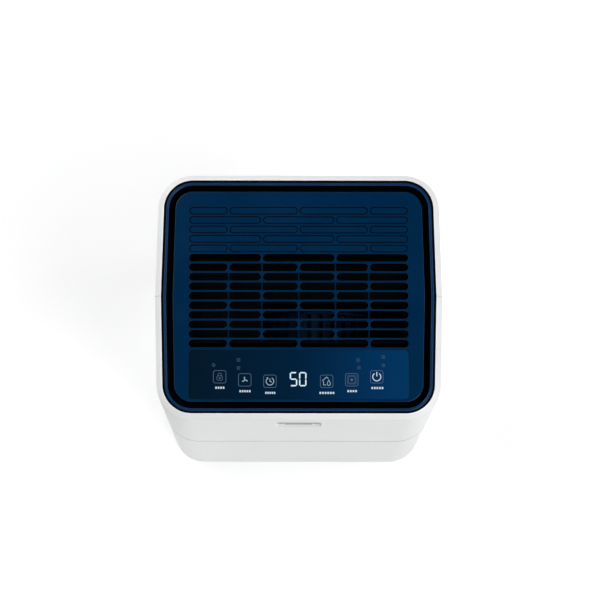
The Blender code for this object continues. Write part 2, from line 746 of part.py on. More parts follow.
# ======================================================================== blower
def scroll_outline(extra):
    """Outline of the volute in the X-Z plane, grown by extra: the spiral from the tongue round to the duct."""
    steps = 24
    points = []
    for i in range(steps + 1):
        share = i / steps
        angle = TONGUE_ANGLE + (2 * math.pi - TONGUE_ANGLE) * share
        radius = SCROLL_START + SCROLL_GROWTH * share + extra
        points.append((FAN_X + radius * math.cos(angle), FAN_Z + radius * math.sin(angle)))
    return points + [(DUCT_RIGHT + extra, SCROLL_TOP + extra), (DUCT_LEFT - extra, SCROLL_TOP + extra)]


def slab_in_xz(outline, y0, y1):
    return loft([[(x, y, z) for x, z in outline] for y in (y0, y1)])


def make_blower_scroll():
    """Volute housing round the fan: inlet hole at the rear, shaft hole at the front, open at the top."""
    outer = slab_in_xz(scroll_outline(SCROLL_WALL), SCROLL_FRONT_Y, SCROLL_REAR_Y)
    scroll = put("blower_scroll", outer, black_plastic())
    hollow = slab_in_xz(scroll_outline(0), SCROLL_FRONT_Y + SCROLL_WALL, SCROLL_REAR_Y - SCROLL_WALL)
    cut(scroll, hollow)
    over = (-WIDTH / 2, SCROLL_FRONT_Y - WALL, SCROLL_TOP - SCROLL_WALL / 4)
    cut(scroll, box(over, (WIDTH / 2, SCROLL_REAR_Y + WALL, SCROLL_TOP + 4 * WALL)))
    holes = [drum(INLET_RADIUS, SCROLL_REAR_Y - 2 * SCROLL_WALL, SCROLL_REAR_Y + WALL, FAN_CENTRE, "Y", 36)]
    shaft_hole = FAN_SHAFT_RADIUS * 3
    holes.append(drum(shaft_hole, SCROLL_FRONT_Y - WALL, SCROLL_FRONT_Y + 2 * SCROLL_WALL, FAN_CENTRE, "Y", 16))
    cut(scroll, merged(*holes))


def make_fan():
    """Forward-curved blower wheel, its shaft and the nut on its hub."""
    centre = FAN_CENTRE
    plate = 2 * MM
    wheel = put(
        "fan_wheel", drum(FAN_RADIUS, FAN_MOTOR_SIDE, FAN_MOTOR_SIDE + plate, centre, "Y", FAN_BLADES), black_plastic()
    )
    blades = []
    length = (FAN_RADIUS - FAN_INNER_RADIUS) * 0.93
    middle = (FAN_RADIUS + FAN_INNER_RADIUS) / 2
    for i in range(FAN_BLADES):
        angle = 2 * math.pi * i / FAN_BLADES
        low = (-length / 2, FAN_MOTOR_SIDE + plate / 2, -FAN_BLADE_THICKNESS / 2)
        blade = box(low, (length / 2, FAN_Y - plate / 2, FAN_BLADE_THICKNESS / 2))
        turn = Matrix.Rotation(-angle, 4, "Y") @ Matrix.Translation((middle, 0, 0))
        blades.append(moved(blade, Matrix.Translation(centre) @ turn @ Matrix.Rotation(FAN_BLADE_LEAN, 4, "Y")))
    fuse(wheel, merged(*blades))
    ring = tube_ring(FAN_RADIUS, FAN_INNER_RADIUS, FAN_Y - plate, FAN_Y, centre, "Y", FAN_BLADES)
    fuse(wheel, ring)
    hub_end = FAN_MOTOR_SIDE + 26 * MM
    fuse(wheel, drum(FAN_HUB_RADIUS, FAN_MOTOR_SIDE + plate / 2, hub_end, centre, "Y", 16))
    bore = FAN_SHAFT_RADIUS + TOUCH_GAP
    cut(wheel, drum(bore, FAN_MOTOR_SIDE - WALL, hub_end + WALL, centre, "Y", 16))
    shaft_start = SCROLL_FRONT_Y - TOUCH_GAP - MOTOR_LENGTH * 0.5
    shaft_end = hub_end + 8 * MM
    put("fan_shaft", drum(FAN_SHAFT_RADIUS, shaft_start, shaft_end, centre, "Y", 16), steel())
    nut = put("fan_nut", drum(FAN_SHAFT_RADIUS * 2, hub_end + TOUCH_GAP, hub_end + 5 * MM, centre, "Y", 6), steel())
    cut(nut, drum(bore, hub_end - WALL, hub_end + 3 * WALL, centre, "Y", 16))


def make_fan_motor():
    """Open-frame fan motor on the front wall of the scroll, with three feet."""
    centre = FAN_CENTRE
    rear = SCROLL_FRONT_Y - TOUCH_GAP
    front = rear - MOTOR_LENGTH
    edge = 4 * MM
    profile = [
        (MOTOR_RADIUS - edge, front),
        (MOTOR_RADIUS, front + edge),
        (MOTOR_RADIUS, rear - edge),
        (MOTOR_RADIUS - edge, rear),
    ]
    motor = put("fan_motor", turned(profile, centre, "Y", 28), dark_metal())
    feet = []
    for i in range(3):
        angle = math.radians(90 + 120 * i)
        place = (FAN_X + MOTOR_RADIUS * math.cos(angle), 0, FAN_Z + MOTOR_RADIUS * math.sin(angle))
        feet.append(drum(9 * MM, rear - 5 * MM, rear, place, "Y", 12))
    fuse(motor, merged(*feet))
    bore = FAN_SHAFT_RADIUS + SHAFT_CLEARANCE
    cut(motor, drum(bore, rear - MOTOR_LENGTH * 0.6, rear + WALL, centre, "Y", 16))


# ======================================================================== inner frame
def make_chassis():
    """Shelf that carries the blower and the coils, the wall behind the tank and the tray under the coils."""
    edge = WALL + 3 * MM
    shelf = put("chassis_deck", stacked_plans([(edge, DECK_Z), (edge, CHASSIS_TOP)]), steel())
    cut(shelf, box((-WIDTH, -DEPTH, DECK_Z - WALL), (WIDTH, CHASSIS_FRONT_Y, CHASSIS_TOP + WALL)))
    notch = (-WIDTH, CONDENSER_Y - COIL_THICKNESS, DECK_Z - WALL)
    cut(shelf, box(notch, (-COIL_WIDTH / 2 - 4 * MM, DEPTH, CHASSIS_TOP + WALL)))
    spout = (LID_HOLE[0], LID_HOLE[1], 0)
    cut(shelf, drum(LID_HOLE_RADIUS * 0.8, DECK_Z - WALL, CHASSIS_TOP + WALL, spout, steps=16))
    half = WIDTH / 2 - WALL - 6 * MM
    low = (-half, BAY_WALL_Y, BASE_TOP + TOUCH_GAP)
    wall = (half, BAY_WALL_Y + BAY_WALL_THICKNESS, DECK_Z - TOUCH_GAP)
    put("tank_bay_wall", box(low, wall), steel())
    tray_front = CONDENSER_Y - COIL_THICKNESS / 2 - 6 * MM
    tray_rear = EVAPORATOR_Y + COIL_THICKNESS / 2 + 3 * MM
    tray_half = COIL_WIDTH / 2 + 4 * MM
    bottom = CHASSIS_TOP + TOUCH_GAP
    top = COIL_BOTTOM - TOUCH_GAP - 2 * MM
    tray = put("drip_tray", box((-tray_half, tray_front, bottom), (tray_half, tray_rear, top)), black_plastic())
    inside = (-tray_half + 2 * MM, tray_front + 2 * MM, bottom + 2 * MM)
    cut(tray, box(inside, (tray_half - 2 * MM, tray_rear - 2 * MM, top + WALL)))
    ribs = []
    for x in (-70 * MM, 0, 70 * MM):
        low = (x - 2 * MM, tray_front + 1 * MM, bottom + 1 * MM)
        ribs.append(box(low, (x + 2 * MM, tray_rear - 1 * MM, COIL_BOTTOM - TOUCH_GAP)))
    fuse(tray, merged(*ribs))
    spout_x, spout_y = LID_HOLE
    half = CHUTE_WIDTH / 2
    low = (spout_x - half, spout_y - half, bottom)
    fuse(tray, box(low, (spout_x + half, tray_front + 1 * MM, bottom + CHUTE_HEIGHT)))
    low = (spout_x - half + 2 * MM, spout_y - half + 2 * MM, bottom + 2 * MM)
    cut(tray, box(low, (spout_x + half - 2 * MM, tray_front + 3 * MM, bottom + CHUTE_HEIGHT + WALL)))
    cut(tray, drum(half - 4 * MM, bottom - WALL, bottom + 2 * WALL, (spout_x, spout_y, 0), steps=16))


def hairpin(x, y, z, rise, outward):
    """One return bend of a coil: a half ring standing out of the end plate."""
    loops = []
    steps = 6
    for i in range(steps + 1):
        angle = math.pi * i / steps
        middle = Vector((x + outward * rise / 2 * math.sin(angle), y, z - rise / 2 * math.cos(angle)))
        across = Vector((outward * math.sin(angle), 0, -math.cos(angle)))
        if i in (0, steps):
            middle.x -= outward * END_PLATE
        loop = []
        for j in range(6):
            turn = 2 * math.pi * j / 6
            spot = middle + (across * math.cos(turn) + Vector((0, math.sin(turn), 0))) * HAIRPIN_TUBE
            loop.append(spot)
        loops.append(loop)
    return loft(loops)


def make_coil(name, y, material):
    """A finned coil: the fin block between two end plates, with the return bends of its tubes."""
    half = COIL_WIDTH / 2
    depth = COIL_THICKNESS / 2
    block = box((-half, y - depth, COIL_BOTTOM), (half, y + depth, COIL_BOTTOM + COIL_HEIGHT))
    coil = put(name, block, material)
    pitch = COIL_HEIGHT / (HAIRPINS + 0.5)
    rise = pitch * 0.62
    bends = []
    for side in (-1, 1):
        for i in range(HAIRPINS):
            z = COIL_BOTTOM + pitch * (i + 0.75)
            bends.append(hairpin(side * half, y, z, rise, side))
    fuse(coil, merged(*bends))


def make_compressor():
    """Hermetic compressor: welded can, three-lobed foot plate on rubber grommets, terminal cover."""
    centre = (COMPRESSOR_X, COMPRESSOR_Y, 0)
    bottom = FOOT_PLATE_Z + FOOT_PLATE / 2
    top = bottom + COMPRESSOR_HEIGHT
    radius = COMPRESSOR_RADIUS
    profile = [
        (radius * 0.70, bottom),
        (radius * 0.94, bottom + radius * 0.14),
        (radius, bottom + radius * 0.4),
        (radius, top - radius * 0.75),
        (radius * 0.93, top - radius * 0.4),
        (radius * 0.68, top - radius * 0.13),
        (radius * 0.25, top),
    ]
    can = put("compressor", turned(profile, centre, steps=28), dark_metal())
    lobes = [drum(radius * 0.8, FOOT_PLATE_Z, FOOT_PLATE_Z + FOOT_PLATE, centre, steps=16)]
    for i in range(3):
        angle = math.radians(30 + 120 * i)
        reach = Matrix.Rotation(angle, 4, "Z")
        arm = box((0, -9 * MM, FOOT_PLATE_Z + 0.2 * MM), (FOOT_RADIUS + 9 * MM, 9 * MM, FOOT_PLATE_Z + FOOT_PLATE))
        place = Matrix.Translation(centre) @ reach
        fuse(can, moved(arm, place))
        spot = place @ Vector((FOOT_RADIUS, 0, 0))
        floor = TRAY_FLOOR + TOUCH_GAP
        grommet = [(GROMMET_RADIUS, floor), (GROMMET_RADIUS * 0.8, (floor + FOOT_PLATE_Z) / 2)]
        grommet.append((GROMMET_RADIUS, FOOT_PLATE_Z - TOUCH_GAP))
        put(f"compressor_grommet_{i + 1}", turned(grommet, (spot.x, spot.y, 0), steps=12), rubber())
    fuse(can, merged(*lobes))
    cap = (COMPRESSOR_X + 10 * MM, COMPRESSOR_Y - 16 * MM, top - radius * 0.45)
    fuse(can, box(cap, (COMPRESSOR_X + 42 * MM, COMPRESSOR_Y + 16 * MM, top + 4 * MM)))


def make_refrigerant_parts():
    """Filter drier and the copper lines between the compressor and the coils."""
    drier_x, drier_y = -118 * MM, 40 * MM
    drier_top = SEAM_Z - 66 * MM
    profile = [(3.5 * MM, drier_top - 70 * MM), (9 * MM, drier_top - 62 * MM)]
    profile += [(9 * MM, drier_top - 8 * MM), (3.5 * MM, drier_top)]
    put("filter_drier", turned(profile, (drier_x, drier_y, 0), steps=16), copper())
    left = -COIL_WIDTH / 2
    line_x = left - 12 * MM
    low_z = COIL_BOTTOM + 8 * MM
    can_side = COMPRESSOR_X - COMPRESSOR_RADIUS - 1 * MM
    port_z = FOOT_PLATE_Z + COMPRESSOR_HEIGHT * 0.45
    suction = [
        (left - 0.6 * MM, EVAPORATOR_Y, low_z),
        (line_x, EVAPORATOR_Y, low_z),
        (line_x, EVAPORATOR_Y, port_z + 20 * MM),
        (line_x, COMPRESSOR_Y, port_z),
        (can_side, COMPRESSOR_Y, port_z),
    ]
    pipe("suction_line", suction, 4 * MM, copper())
    run_z = SEAM_Z - 50 * MM
    discharge = [
        (left - 0.6 * MM, CONDENSER_Y, low_z),
        (line_x, CONDENSER_Y, low_z),
        (line_x, CONDENSER_Y, run_z + 4 * MM),
        (line_x + 20 * MM, COMPRESSOR_Y, run_z),
        (COMPRESSOR_X - 6 * MM, COMPRESSOR_Y, run_z),
        (COMPRESSOR_X - 6 * MM, COMPRESSOR_Y, FOOT_PLATE_Z + COMPRESSOR_HEIGHT + 2.5 * MM),
    ]
    pipe("discharge_line", discharge, 3 * MM, copper(), 10 * MM)
    top_z = SEAM_Z - 24 * MM
    liquid = [
        (drier_x, drier_y, drier_top + 0.6 * MM),
        (drier_x, drier_y, top_z),
        (line_x - 9 * MM, drier_y + 12 * MM, top_z),
        (line_x - 9 * MM, CONDENSER_Y + 14 * MM, top_z),
        (line_x - 9 * MM, CONDENSER_Y + 14 * MM, COIL_BOTTOM + COIL_HEIGHT - 8 * MM),
        (line_x, EVAPORATOR_Y, COIL_BOTTOM + COIL_HEIGHT - 6 * MM),
        (left - 0.6 * MM, EVAPORATOR_Y, COIL_BOTTOM + COIL_HEIGHT - 6 * MM),
    ]
    pipe("liquid_line", liquid, 2 * MM, copper(), 10 * MM)


def make_electrics():
    """Control box with its cover, run capacitor, humidity sensor and the float's reed switch."""
    low = (62 * MM, BAY_REAR_Y, TRAY_FLOOR + TOUCH_GAP)
    high = (142 * MM, 66 * MM, SEAM_Z - 110 * MM)
    put("electrical_box", box(low, high), black_plastic())
    centre = (102 * MM, 30 * MM, 0)
    start = high[2] + TOUCH_GAP
    profile = [(16 * MM, start), (16 * MM, start + 58 * MM), (12 * MM, start + 62 * MM)]
    put("run_capacitor", turned(profile, centre, steps=20), aluminium())
    sensor = (130 * MM, 40 * MM, CHASSIS_TOP + TOUCH_GAP)
    put("humidity_sensor", box(sensor, (148 * MM, 52 * MM, CHASSIS_TOP + 28 * MM)), white_plastic())
    top = TANK_TOP - 10 * MM
    switch = (FLOAT_X - 12 * MM, BAY_REAR_Y, top - 26 * MM)
    put("level_switch", box(switch, (FLOAT_X + 12 * MM, BAY_REAR_Y + 9 * MM, top)), white_plastic())


# ======================================================================== rear
def make_rear_grille():
    """Intake grille, flush in the rear wall, that tilts out on its lower edge."""
    half = INTAKE_WIDTH / 2 - INTAKE_CLEARANCE
    bottom, top = INTAKE_BOTTOM + 2 * MM, INTAKE_TOP - INTAKE_CLEARANCE
    front = REAR_Y - GRILLE_THICKNESS
    plate = put("rear_grille", box((-half, front, bottom), (half, REAR_Y, top)), white_plastic())
    pitch = (top - bottom - 2 * GRILLE_BORDER) / GRILLE_ROWS
    slots = []
    for row in range(GRILLE_ROWS):
        z = bottom + GRILLE_BORDER + pitch * (row + 0.5)
        for side in (-1, 1):
            x0, x1 = sorted((side * 2.5 * MM, side * (half - GRILLE_BORDER)))
            low = (x0, front - WALL, z - GRILLE_SLOT_HEIGHT / 2)
            slots.append(box(low, (x1, REAR_Y + WALL, z + GRILLE_SLOT_HEIGHT / 2)))
    cut(plate, merged(*slots))
    rear = front - TOUCH_GAP
    low = (-half + 3 * MM, rear - FILTER_THICKNESS, bottom + 5 * MM)
    high = (half - 3 * MM, rear, top - 4 * MM)
    frame = put("filter_frame", box(low, high), black_plastic())
    border = FILTER_BORDER
    windows = []
    for x0, x1 in ((low[0] + border, -border / 2), (border / 2, high[0] - border)):
        middle = (low[2] + high[2]) / 2
        for z0, z1 in ((low[2] + border, middle - border / 2), (middle + border / 2, high[2] - border)):
            windows.append(box((x0, low[1] - WALL, z0), (x1, high[1] + WALL, z1)))
    cut(frame, merged(*windows))
    mesh_front = low[1] - TOUCH_GAP - FILTER_MESH_THICKNESS
    inset = 2 * MM
    mesh_low = (low[0] + inset, mesh_front, low[2] + inset)
    put("filter_mesh", box(mesh_low, (high[0] - inset, low[1] - TOUCH_GAP, high[2] - inset)), black_plastic())


def make_drain():
    """Drain socket for a hose, closed by a rubber plug that pulls straight out."""
    centre = (DRAIN[0], 0, DRAIN[1])
    outer = DRAIN_RADIUS + DRAIN_WALL
    start, end = REAR_Y - 24 * MM, REAR_Y - SCREW_RECESS
    socket = put("drain_socket", drum(outer, start, end, centre, "Y"), black_plastic())
    cut(socket, drum(DRAIN_RADIUS, start + 3 * MM, end + WALL, centre, "Y"))
    plug_end = REAR_Y - TOUCH_GAP
    radius = DRAIN_RADIUS - TOUCH_GAP - 0.2 * MM
    profile = [
        (radius * 0.8, start + 8 * MM),
        (radius, start + 10 * MM),
        (radius, plug_end - 1 * MM),
        (radius * 0.85, plug_end),
    ]
    put("drain_plug", turned(profile, centre, "Y"), rubber())


def make_gland_and_screws():
    """Bush where the mains lead leaves, and the four screws of the rear shell."""
    bush = tube_ring(GLAND_RADIUS, 3.6 * MM, REAR_Y - 14 * MM, REAR_Y - TOUCH_GAP, (GLAND[0], 0, GLAND[1]), "Y")
    put("cord_gland", bush, rubber())
    number = 0
    for x in (-SCREW_X, SCREW_X):
        for level in SCREW_LEVELS:
            number += 1
            face = REAR_Y - SCREW_RECESS
            profile = [
                (1.6 * MM, face - 15 * MM),
                (2.0 * MM, face - 3 * MM),
                (SCREW_HEAD_RADIUS - TOUCH_GAP, face - 2.2 * MM),
                (SCREW_HEAD_RADIUS - TOUCH_GAP, face - 0.6 * MM),
                (SCREW_HEAD_RADIUS * 0.7, face),
            ]
            put(f"casing_screw_{number}", turned(profile, (x, 0, level), "Y", 12), steel())


# ======================================================================== tank
def make_tank():
    """Front-loading water tank: white front that is part of the casing, bucket, lid, handle and float."""
    bottom = BASE_TOP + TOUCH_GAP
    top = SEAM_Z - PARTING_GAP / 2
    section = [(0, bottom), (0, top), (WALL, top), (WALL, bottom)]
    panel = put("tank_front", wall_round_half(section, PARTING_GAP / 2, rear=False), white_plastic())
    y0, y1 = FINGER_NOTCH_Y - FINGER_NOTCH_LENGTH / 2, FINGER_NOTCH_Y + FINGER_NOTCH_LENGTH / 2
    cut(panel, box((-WIDTH, y0, top - FINGER_NOTCH_DEPTH), (WIDTH, y1, top + WALL)))

    outside = WALL + TOUCH_GAP
    plan = half_plan(outside, -TANK_REAR_Y, rear=False)
    bucket = put("tank_bucket", prism(plan, bottom, TANK_TOP), clear_smoke_plastic())
    hollow = half_plan(outside + TANK_WALL, -TANK_REAR_Y + TANK_WALL, rear=False)
    cut(bucket, prism(hollow, bottom + TANK_WALL, TANK_TOP + WALL))

    lid_bottom = TANK_TOP + TOUCH_GAP
    lid_top = lid_bottom + LID_THICKNESS
    lid = put("tank_lid", prism(plan, lid_bottom, lid_top), clear_smoke_plastic())
    pivot_y, pivot_z = HANDLE_PIVOT
    lugs = []
    for side in (-1, 1):
        inner = HANDLE_SPAN / 2 + 2 * MM
        x0, x1 = sorted((side * inner, side * (inner + 6 * MM)))
        lugs.append(box((x0, pivot_y - 5 * MM, lid_top - 1 * MM), (x1, pivot_y + 5 * MM, pivot_z + 4.5 * MM)))
    float_y, float_z = FLOAT_PIVOT
    reach = FLOAT_SIZE[0] / 2 + 3 * MM
    for side in (-1, 1):
        x0, x1 = sorted((FLOAT_X + side * reach, FLOAT_X + side * (reach + 3 * MM)))
        lugs.append(box((x0, float_y - 5 * MM, float_z - 5 * MM), (x1, float_y + 5 * MM, lid_bottom + 1 * MM)))
    fuse(lid, merged(*lugs))
    hole = (LID_HOLE[0], LID_HOLE[1], 0)
    pin_hole = PIVOT_PIN_RADIUS + PIVOT_CLEARANCE
    holes = [drum(LID_HOLE_RADIUS, lid_bottom - WALL, lid_top + WALL, hole, steps=20)]
    holes.append(drum(pin_hole, -WIDTH / 3, WIDTH / 3, (0, pivot_y, pivot_z), "X", 16))
    cut(lid, merged(*holes))
    cut(lid, drum(pin_hole, -reach - 6 * MM, reach + 6 * MM, (FLOAT_X, float_y, float_z), "X", 16))


def make_tank_handle():
    """Bail handle that lies on the lid and swings up."""
    pivot_y, pivot_z = HANDLE_PIVOT
    half = HANDLE_SPAN / 2
    bar_y = pivot_y - HANDLE_REACH
    handle = put("tank_handle", drum(HANDLE_BAR_RADIUS, -half, half, (0, bar_y, pivot_z), "X", 12), black_plastic())
    arms, pins = [], []
    for side in (-1, 1):
        x0, x1 = sorted((side * (half - 4 * MM), side * half))
        arm_low = (x0, bar_y, pivot_z - 3 * MM)
        arms.append(box(arm_low, (x1, pivot_y + 4 * MM, pivot_z + 3 * MM)))
        x0, x1 = sorted((side * (half - 1 * MM), side * (half + 7 * MM)))
        pins.append(drum(PIVOT_PIN_RADIUS, x0, x1, (0, pivot_y, pivot_z), "X", 12))
    fuse(handle, merged(*arms))
    fuse(handle, merged(*pins))


def make_tank_float():
    """Float on a pivoted arm under the lid."""
    pivot_y, pivot_z = FLOAT_PIVOT
    width, length, height = FLOAT_SIZE
    top = pivot_z - 14 * MM
    rear = pivot_y - 8 * MM
    low = (FLOAT_X - width / 2, rear - length, top - height)
    block = put("tank_float", box(low, (FLOAT_X + width / 2, rear, top)), black_plastic())
    reach = width / 2 + 5 * MM
    parts = [drum(PIVOT_PIN_RADIUS, -reach, reach, (FLOAT_X, pivot_y, pivot_z), "X", 12)]
    for side in (-1, 1):
        x = FLOAT_X + side * (width / 2 - 3 * MM)
        loop = [(rear - 12 * MM, top - 4 * MM), (rear - 4 * MM, top - 4 * MM)]
        loop += [(pivot_y + 1.5 * MM, pivot_z - 1 * MM), (pivot_y - 1.5 * MM, pivot_z + 1 * MM)]
        parts.append(loft([[(x + dx, y, z) for y, z in loop] for dx in (-1.5 * MM, 1.5 * MM)]))
    for shape in parts:
        fuse(block, shape)


# ======================================================================== castors
def make_castor(number, x, y):
    """One swivelling castor: the fork with its stem and axle, and the wheel."""
    axle_y = y + CASTOR_TRAIL
    axle = (x, axle_y, WHEEL_RADIUS)
    plate_top = POCKET_TOP - 0.5 * MM
    plate_bottom = plate_top - 3 * MM
    fork = put(f"castor_fork_{number}", drum(15 * MM, plate_bottom, plate_top, (x, y, 0), steps=20), steel())
    fuse(fork, drum(CASTOR_STEM_RADIUS, plate_top - 1 * MM, POCKET_CEILING + 1.5 * MM, (x, y, 0), steps=12))
    inner = WHEEL_WIDTH / 2 + FORK_SIDE_GAP
    arms = []
    for side in (-1, 1):
        x0, x1 = sorted((x + side * inner, x + side * (inner + FORK_ARM)))
        outline = [(y - 9 * MM, plate_bottom + 1 * MM), (axle_y + 5 * MM, plate_bottom + 1 * MM)]
        outline += [(axle_y + 5 * MM, WHEEL_RADIUS), (axle_y, WHEEL_RADIUS - 5 * MM), (axle_y - 5 * MM, WHEEL_RADIUS)]
        arms.append(loft([[(xx, yy, zz) for yy, zz in outline] for xx in (x0, x1)]))
    fuse(fork, merged(*arms))
    fuse(fork, drum(AXLE_RADIUS, -inner - FORK_ARM / 2, inner + FORK_ARM / 2, axle, "X", 12))
    bore = AXLE_RADIUS + SHAFT_CLEARANCE
    wheel = tube_ring(WHEEL_RADIUS / math.cos(math.pi / 24), bore, -WHEEL_WIDTH / 2, WHEEL_WIDTH / 2, axle, "X", 24)
    put(f"castor_wheel_{number}", wheel, black_plastic())


def make_castors():
    places = [(x, y) for y in (-CASTOR_Y, CASTOR_Y) for x in (-CASTOR_X, CASTOR_X)]
    for number, (x, y) in enumerate(places, start=1):
        make_castor(number, x, y)


# ======================================================================== the whole object
clear_scene()
make_front_shell()
make_rear_shell()
make_base_tray()
make_side_grips()
make_trim_ring()
make_outlet_grille()
make_controls()
make_top_deck()
make_outlet_guard()
make_outlet_plenum()
make_blower_scroll()
make_fan()
make_fan_motor()
make_chassis()
make_coil("evaporator_coil", EVAPORATOR_Y, aluminium())
make_coil("condenser_coil", CONDENSER_Y, aluminium())
make_compressor()
make_refrigerant_parts()
make_electrics()
make_rear_grille()
make_drain()
make_gland_and_screws()
make_tank()
make_tank_handle()
make_tank_float()
make_castors()
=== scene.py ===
# %% [markdown]
# # A room dehumidifier, finished piece by piece
# The imported model is the fixed frame: every piece made here takes its place and size from it, in metres.
# The front faces -Y, the air leaves through the top, and the origin is on the floor under the middle.
# First the frame is loaded, and each of its parts is set in world coordinates.

# %% The frame
import math

import bmesh
import bpy
import numpy as np
from mathutils import Matrix, Vector
from mathutils.geometry import delaunay_2d_cdt


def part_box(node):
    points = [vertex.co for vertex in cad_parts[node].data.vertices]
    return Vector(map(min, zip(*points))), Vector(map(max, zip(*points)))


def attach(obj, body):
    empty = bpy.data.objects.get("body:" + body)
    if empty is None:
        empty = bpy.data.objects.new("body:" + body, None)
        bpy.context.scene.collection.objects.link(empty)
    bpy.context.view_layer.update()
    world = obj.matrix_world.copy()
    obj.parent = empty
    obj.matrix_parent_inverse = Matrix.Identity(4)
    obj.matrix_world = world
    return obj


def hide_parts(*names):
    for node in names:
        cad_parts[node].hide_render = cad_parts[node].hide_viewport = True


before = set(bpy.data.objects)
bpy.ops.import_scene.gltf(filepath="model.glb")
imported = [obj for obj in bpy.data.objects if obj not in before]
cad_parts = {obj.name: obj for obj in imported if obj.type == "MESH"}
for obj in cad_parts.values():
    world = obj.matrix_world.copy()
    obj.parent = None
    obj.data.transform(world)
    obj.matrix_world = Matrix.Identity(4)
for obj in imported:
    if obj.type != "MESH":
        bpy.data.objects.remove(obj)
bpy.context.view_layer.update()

MM = 0.001

# %% [markdown]
# ## Camera
# The object is seen from almost straight above, from a long way off, so its sides shrink a little towards
# the floor. A long lens far away gives that. The camera's up direction follows the object's depth, which
# keeps the top square in the frame.

# %% Camera
CAMERA_PLACE = Vector((-0.01659, -0.49090, 3.43464))
CAMERA_AIM = Vector((0.00158, -0.00387, 0.52300))
FOCAL_MM = 145.44
SENSOR_MM = 36.0

camera_data = bpy.data.cameras.new("camera")
camera_data.sensor_width = SENSOR_MM
camera_data.lens = FOCAL_MM
camera = bpy.data.objects.new("camera", camera_data)
bpy.context.scene.collection.objects.link(camera)
looking = (CAMERA_AIM - CAMERA_PLACE).normalized()
camera_right = looking.cross(Vector((0, 1, 0))).normalized()
camera_up = camera_right.cross(looking)
turn = Matrix((camera_right, camera_up, -looking)).transposed().to_4x4()
camera.matrix_world = Matrix.Translation(CAMERA_PLACE) @ turn
bpy.context.scene.camera = camera
print("camera tilt from straight down:", round(math.degrees(math.acos(-looking.z)), 2), "degrees")

# %% [markdown]
# ## Small tools for shapes
# Every visible surface below is a grid of points: a profile carried round an outline. These few helpers
# are all that is needed: one rounds the corners of a profile, one knows the outline of the case, one makes a
# mesh of a grid, and one settles modifiers into the mesh so that each finished piece is plain geometry.

# %% Rounded profiles
def rounded(points, radii, steps=6, closed=False):
    """Replaces each corner of a polyline by an arc that is tangent to both of its edges.

    With a corner C, unit directions a and b towards its neighbours and half their angle h, the arc has its
    centre at C + (a + b) / |a + b| * r / sin(h) and touches both edges at a distance r / tan(h) from C.
    """
    corners = np.asarray(points, float)
    count = len(corners)
    made = []
    for i in range(count):
        corner = corners[i]
        radius = radii[i] if np.ndim(radii) else radii
        at_end = not closed and i in (0, count - 1)
        if at_end or radius <= 0:
            made.append(corner[None])
            continue
        a = corners[i - 1] - corner
        b = corners[(i + 1) % count] - corner
        a, b = a / np.linalg.norm(a), b / np.linalg.norm(b)
        half = math.acos(np.clip(a @ b, -1, 1)) / 2
        middle = (a + b) / np.linalg.norm(a + b)
        centre = corner + middle * radius / math.sin(half)
        start = corner + a * radius / math.tan(half) - centre
        end = corner + b * radius / math.tan(half) - centre
        sweep = math.pi - 2 * half
        t = np.linspace(0, 1, steps + 1)[:, None]
        made.append(centre + (start * np.sin((1 - t) * sweep) + end * np.sin(t * sweep)) / math.sin(sweep))
    return np.concatenate(made)


def stadium(x0, x1, y, height, grow=0.0, steps=12):
    """A slot with round ends: two half circles of radius height / 2 and straight lines, all grown outwards."""
    radius = height / 2
    a = np.linspace(-math.pi / 2, math.pi / 2, steps + 1)
    right = np.stack([x1 - radius + (radius + grow) * np.cos(a), y + (radius + grow) * np.sin(a)], 1)
    left = np.stack([x0 + radius - (radius + grow) * np.cos(a), y - (radius + grow) * np.sin(a)], 1)
    return np.concatenate([right, left])


def rounded_box(x0, y0, x1, y1, radius, grow=0.0, steps=8):
    """A rectangle with round corners, grown outwards: each corner's arc keeps its centre and its radius grows."""
    a = np.linspace(0, math.pi / 2, steps + 1)
    arc = np.stack([np.cos(a), np.sin(a)], 1) * (radius + grow)
    turns = [np.array([[1, 0], [0, 1]]), np.array([[0, -1], [1, 0]]), -np.eye(2), np.array([[0, 1], [-1, 0]])]
    left, right, low, high = x0 + radius, x1 - radius, y0 + radius, y1 - radius
    centres = [(right, high), (left, high), (left, low), (right, low)]
    return np.concatenate([arc @ turn.T + np.array(c) for turn, c in zip(turns, centres)])


def circle(x, y, radius, grow=0.0, steps=48):
    """Points on a circle, anticlockwise."""
    a = np.arange(steps) * 2 * math.pi / steps
    return np.stack([x + (radius + grow) * np.cos(a), y + (radius + grow) * np.sin(a)], 1)


print("a rounded square has", len(rounded([(0, 0), (1, 0), (1, 1), (0, 1)], 0.1, closed=True)), "points")

# %% [markdown]
# ## The outline of the case
# Seen from above the case is a rounded rectangle whose sides lean in a little on each side of the seam
# at mid-depth. Every ring on it, from the wall to the edge of the slotted island, is that same outline moved
# inwards, so one function of the inset draws them all.

# %% Outline of the case
front_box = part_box("front_shell")
rear_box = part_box("rear_shell")
WIDTH = 2 * front_box[1].x
DEPTH = rear_box[1].y - front_box[0].y
HEIGHT = front_box[1].z
TAPER = 0.0255
CORNER = 43 * MM
WALL = 2.8 * MM
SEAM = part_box("tank_front")[1].z + 0.5 * MM


